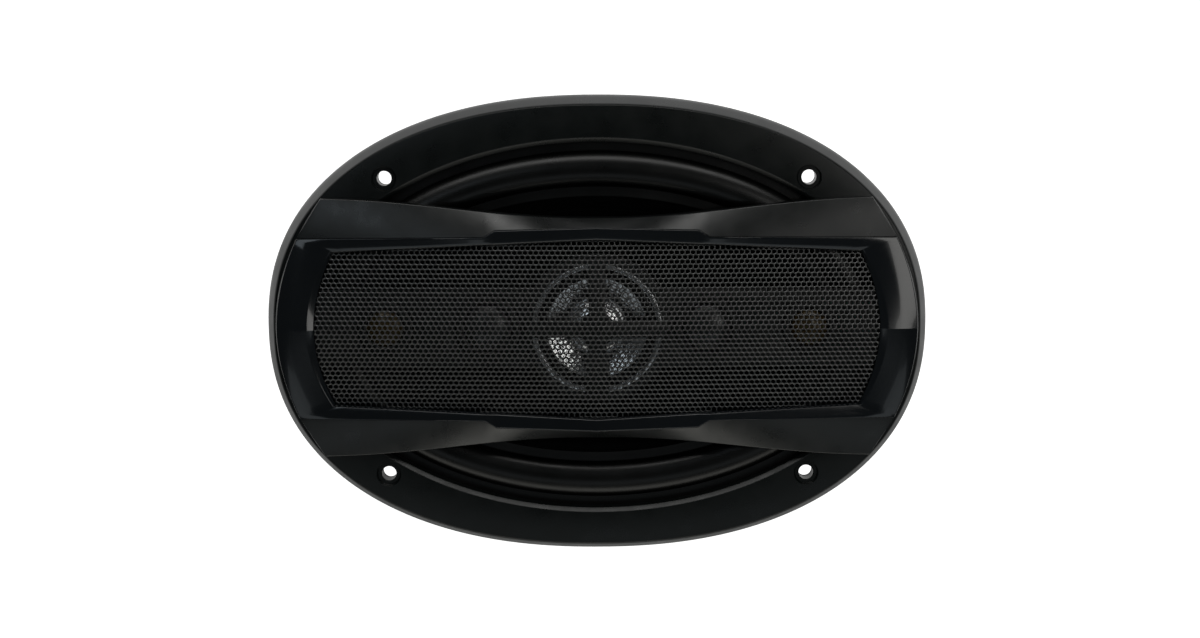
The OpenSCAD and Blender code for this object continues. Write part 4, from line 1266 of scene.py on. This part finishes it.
def add_eased_pieces():
    """Every rigid CAD node whose shape is right: a merged copy with rounded edges and its own finish."""
    steel = turned_metal("zinc_steel", (0.62, 0.62, 0.6), 0.3)
    rivet = plain_metal("rivet_steel", (0.7, 0.7, 0.7), 0.3)
    brass = plain_metal("terminal_brass", (0.78, 0.56, 0.24), 0.28)
    bridge = bridge_plastic()
    silver = silver_cone()
    # The tweeter domes are silver, but their colour is set near black: painted shade for the little light
    # that reaches them behind the grille.
    silver_dome = silk_dome("silver_dome", (0.05, 0.05, 0.053), 0.4)
    amber_dome = silk_dome("amber_dome", (0.09, 0.055, 0.012), 0.1)
    wire = copper_wire()
    magnet = ferrite()
    screw = plain_metal("screw_steel", (0.12, 0.12, 0.125), 0.35)
    bright = turned_metal("bright_ring", (0.85, 0.86, 0.88), 0.14)
    blue = capacitor_sleeve("capacitor_blue", (0.03, 0.06, 0.22))
    red = capacitor_sleeve("capacitor_red", (0.3, 0.03, 0.02))
    table = [
        ("voice_coil_former", "woofer", coil_former(), "coil_former", 0.05),
        ("voice_coil_winding", "woofer", wire, "copper_wire", 0.1),
        ("top_plate", "frame", steel, "plated_steel", 0.4),
        ("magnet", "frame", magnet, "ferrite", 0.8),
        ("back_plate", "frame", steel, "plated_steel", 0.4),
        ("magnet_boot", "frame", boot_rubber(), "boot_rubber", 0.5),
        ("plate_rivets", "frame", rivet, "rivet_steel", 0.2),
        ("terminal_block", "frame", terminal_plastic(), "terminal_plastic", 0.35),
        ("terminal_positive", "frame", brass, "terminal_brass", 0.12),
        ("terminal_negative", "frame", brass, "terminal_brass", 0.12),
        ("terminal_rivets", "frame", rivet, "rivet_steel", 0.12),
        ("tweeter_bridge", "frame", bridge, "bridge_plastic", 0.2),
        ("bridge_screws", "frame", screw, "screw_steel", 0.1),
        ("midrange_frame", "frame", bridge, "bridge_plastic", 0.15),
        ("midrange_cone", "midrange", silver, "silver_cone", 0.04),
        ("midrange_dome", "midrange", silver, "silver_cone", 0.04),
        ("midrange_coil", "midrange", wire, "copper_wire", 0.04),
        ("midrange_plate", "frame", steel, "plated_steel", 0.2),
        ("midrange_magnet", "frame", magnet, "ferrite", 0.3),
        ("midrange_yoke", "frame", steel, "plated_steel", 0.2),
        ("midrange_ring", "frame", bright, "bright_ring", 0.1),
        ("midrange_guard", "frame", guard_plastic(), "guard_plastic", 0.25),
        ("midrange_capacitor", "frame", blue, "capacitor_blue", 0.6),
        ("tweeter_capacitor", "frame", red, "capacitor_red", 0.6),
    ]
    for side in ("left", "right"):
        table += [
            (f"tweeter_housing_{side}", "frame", bridge, "bridge_plastic", 0.15),
            (f"tweeter_dome_{side}", f"tweeter_{side}", silver_dome, "silver_dome", 0.04),
            (f"tweeter_motor_{side}", "frame", steel, "plated_steel", 0.15),
            (f"super_tweeter_housing_{side}", "frame", bridge, "bridge_plastic", 0.15),
            (f"super_tweeter_dome_{side}", f"super_tweeter_{side}", amber_dome, "amber_dome", 0.04),
            (f"super_tweeter_motor_{side}", "frame", steel, "plated_steel", 0.15),
        ]
    for node, body, material, slot, bevel in table:
        rigid_piece(f"{node}_piece", eased_copy(node, bevel), material, body, [node], sharp=40)


def add_midrange_surround():
    """The small roll round the silver cone."""
    low, high = span("midrange_surround")
    flat_w = 1.45                   # glued flat outside the roll
    roll_in = 19
    edge_in = 18.2                  # inner edge, on the cone
    base_z = low.z
    top_z = base_z + 0.5
    outer = high.x
    half = (outer - flat_w - roll_in) / 2
    middle = roll_in + half
    turns = np.radians(np.linspace(0, 180, 15))
    profile = [(outer, base_z), (outer, top_z), (middle + half, top_z)]
    profile += [(middle + half * math.cos(t), top_z + 1.1 * math.sin(t)) for t in turns[1:-1]]
    profile += [(middle - half, top_z), (edge_in, top_z), (edge_in, base_z)]
    profile += [(middle + (half - 0.4) * math.cos(t), base_z + 0.1 + math.sin(t)) for t in turns[::-1]]
    roll = turned(profile)
    flexing_piece("midrange_roll", roll, surround_rubber(), ["midrange_surround"],
                  lambda point: ease((middle + half - point.xy.length) / (2 * half)))


add_camera()
add_studio()
add_floor()
add_trim_ring()
add_gasket()
add_basket()
add_surround()
add_woofer_cone()
add_dust_cap()
add_spider()
add_tinsel_lead(1, "tinsel_braid_positive", "tinsel_lead_positive")
add_tinsel_lead(-1, "tinsel_braid_negative", "tinsel_lead_negative")
add_eased_pieces()
add_midrange_surround()
add_grille_frame()
add_grille_trim()
add_grille_mesh()
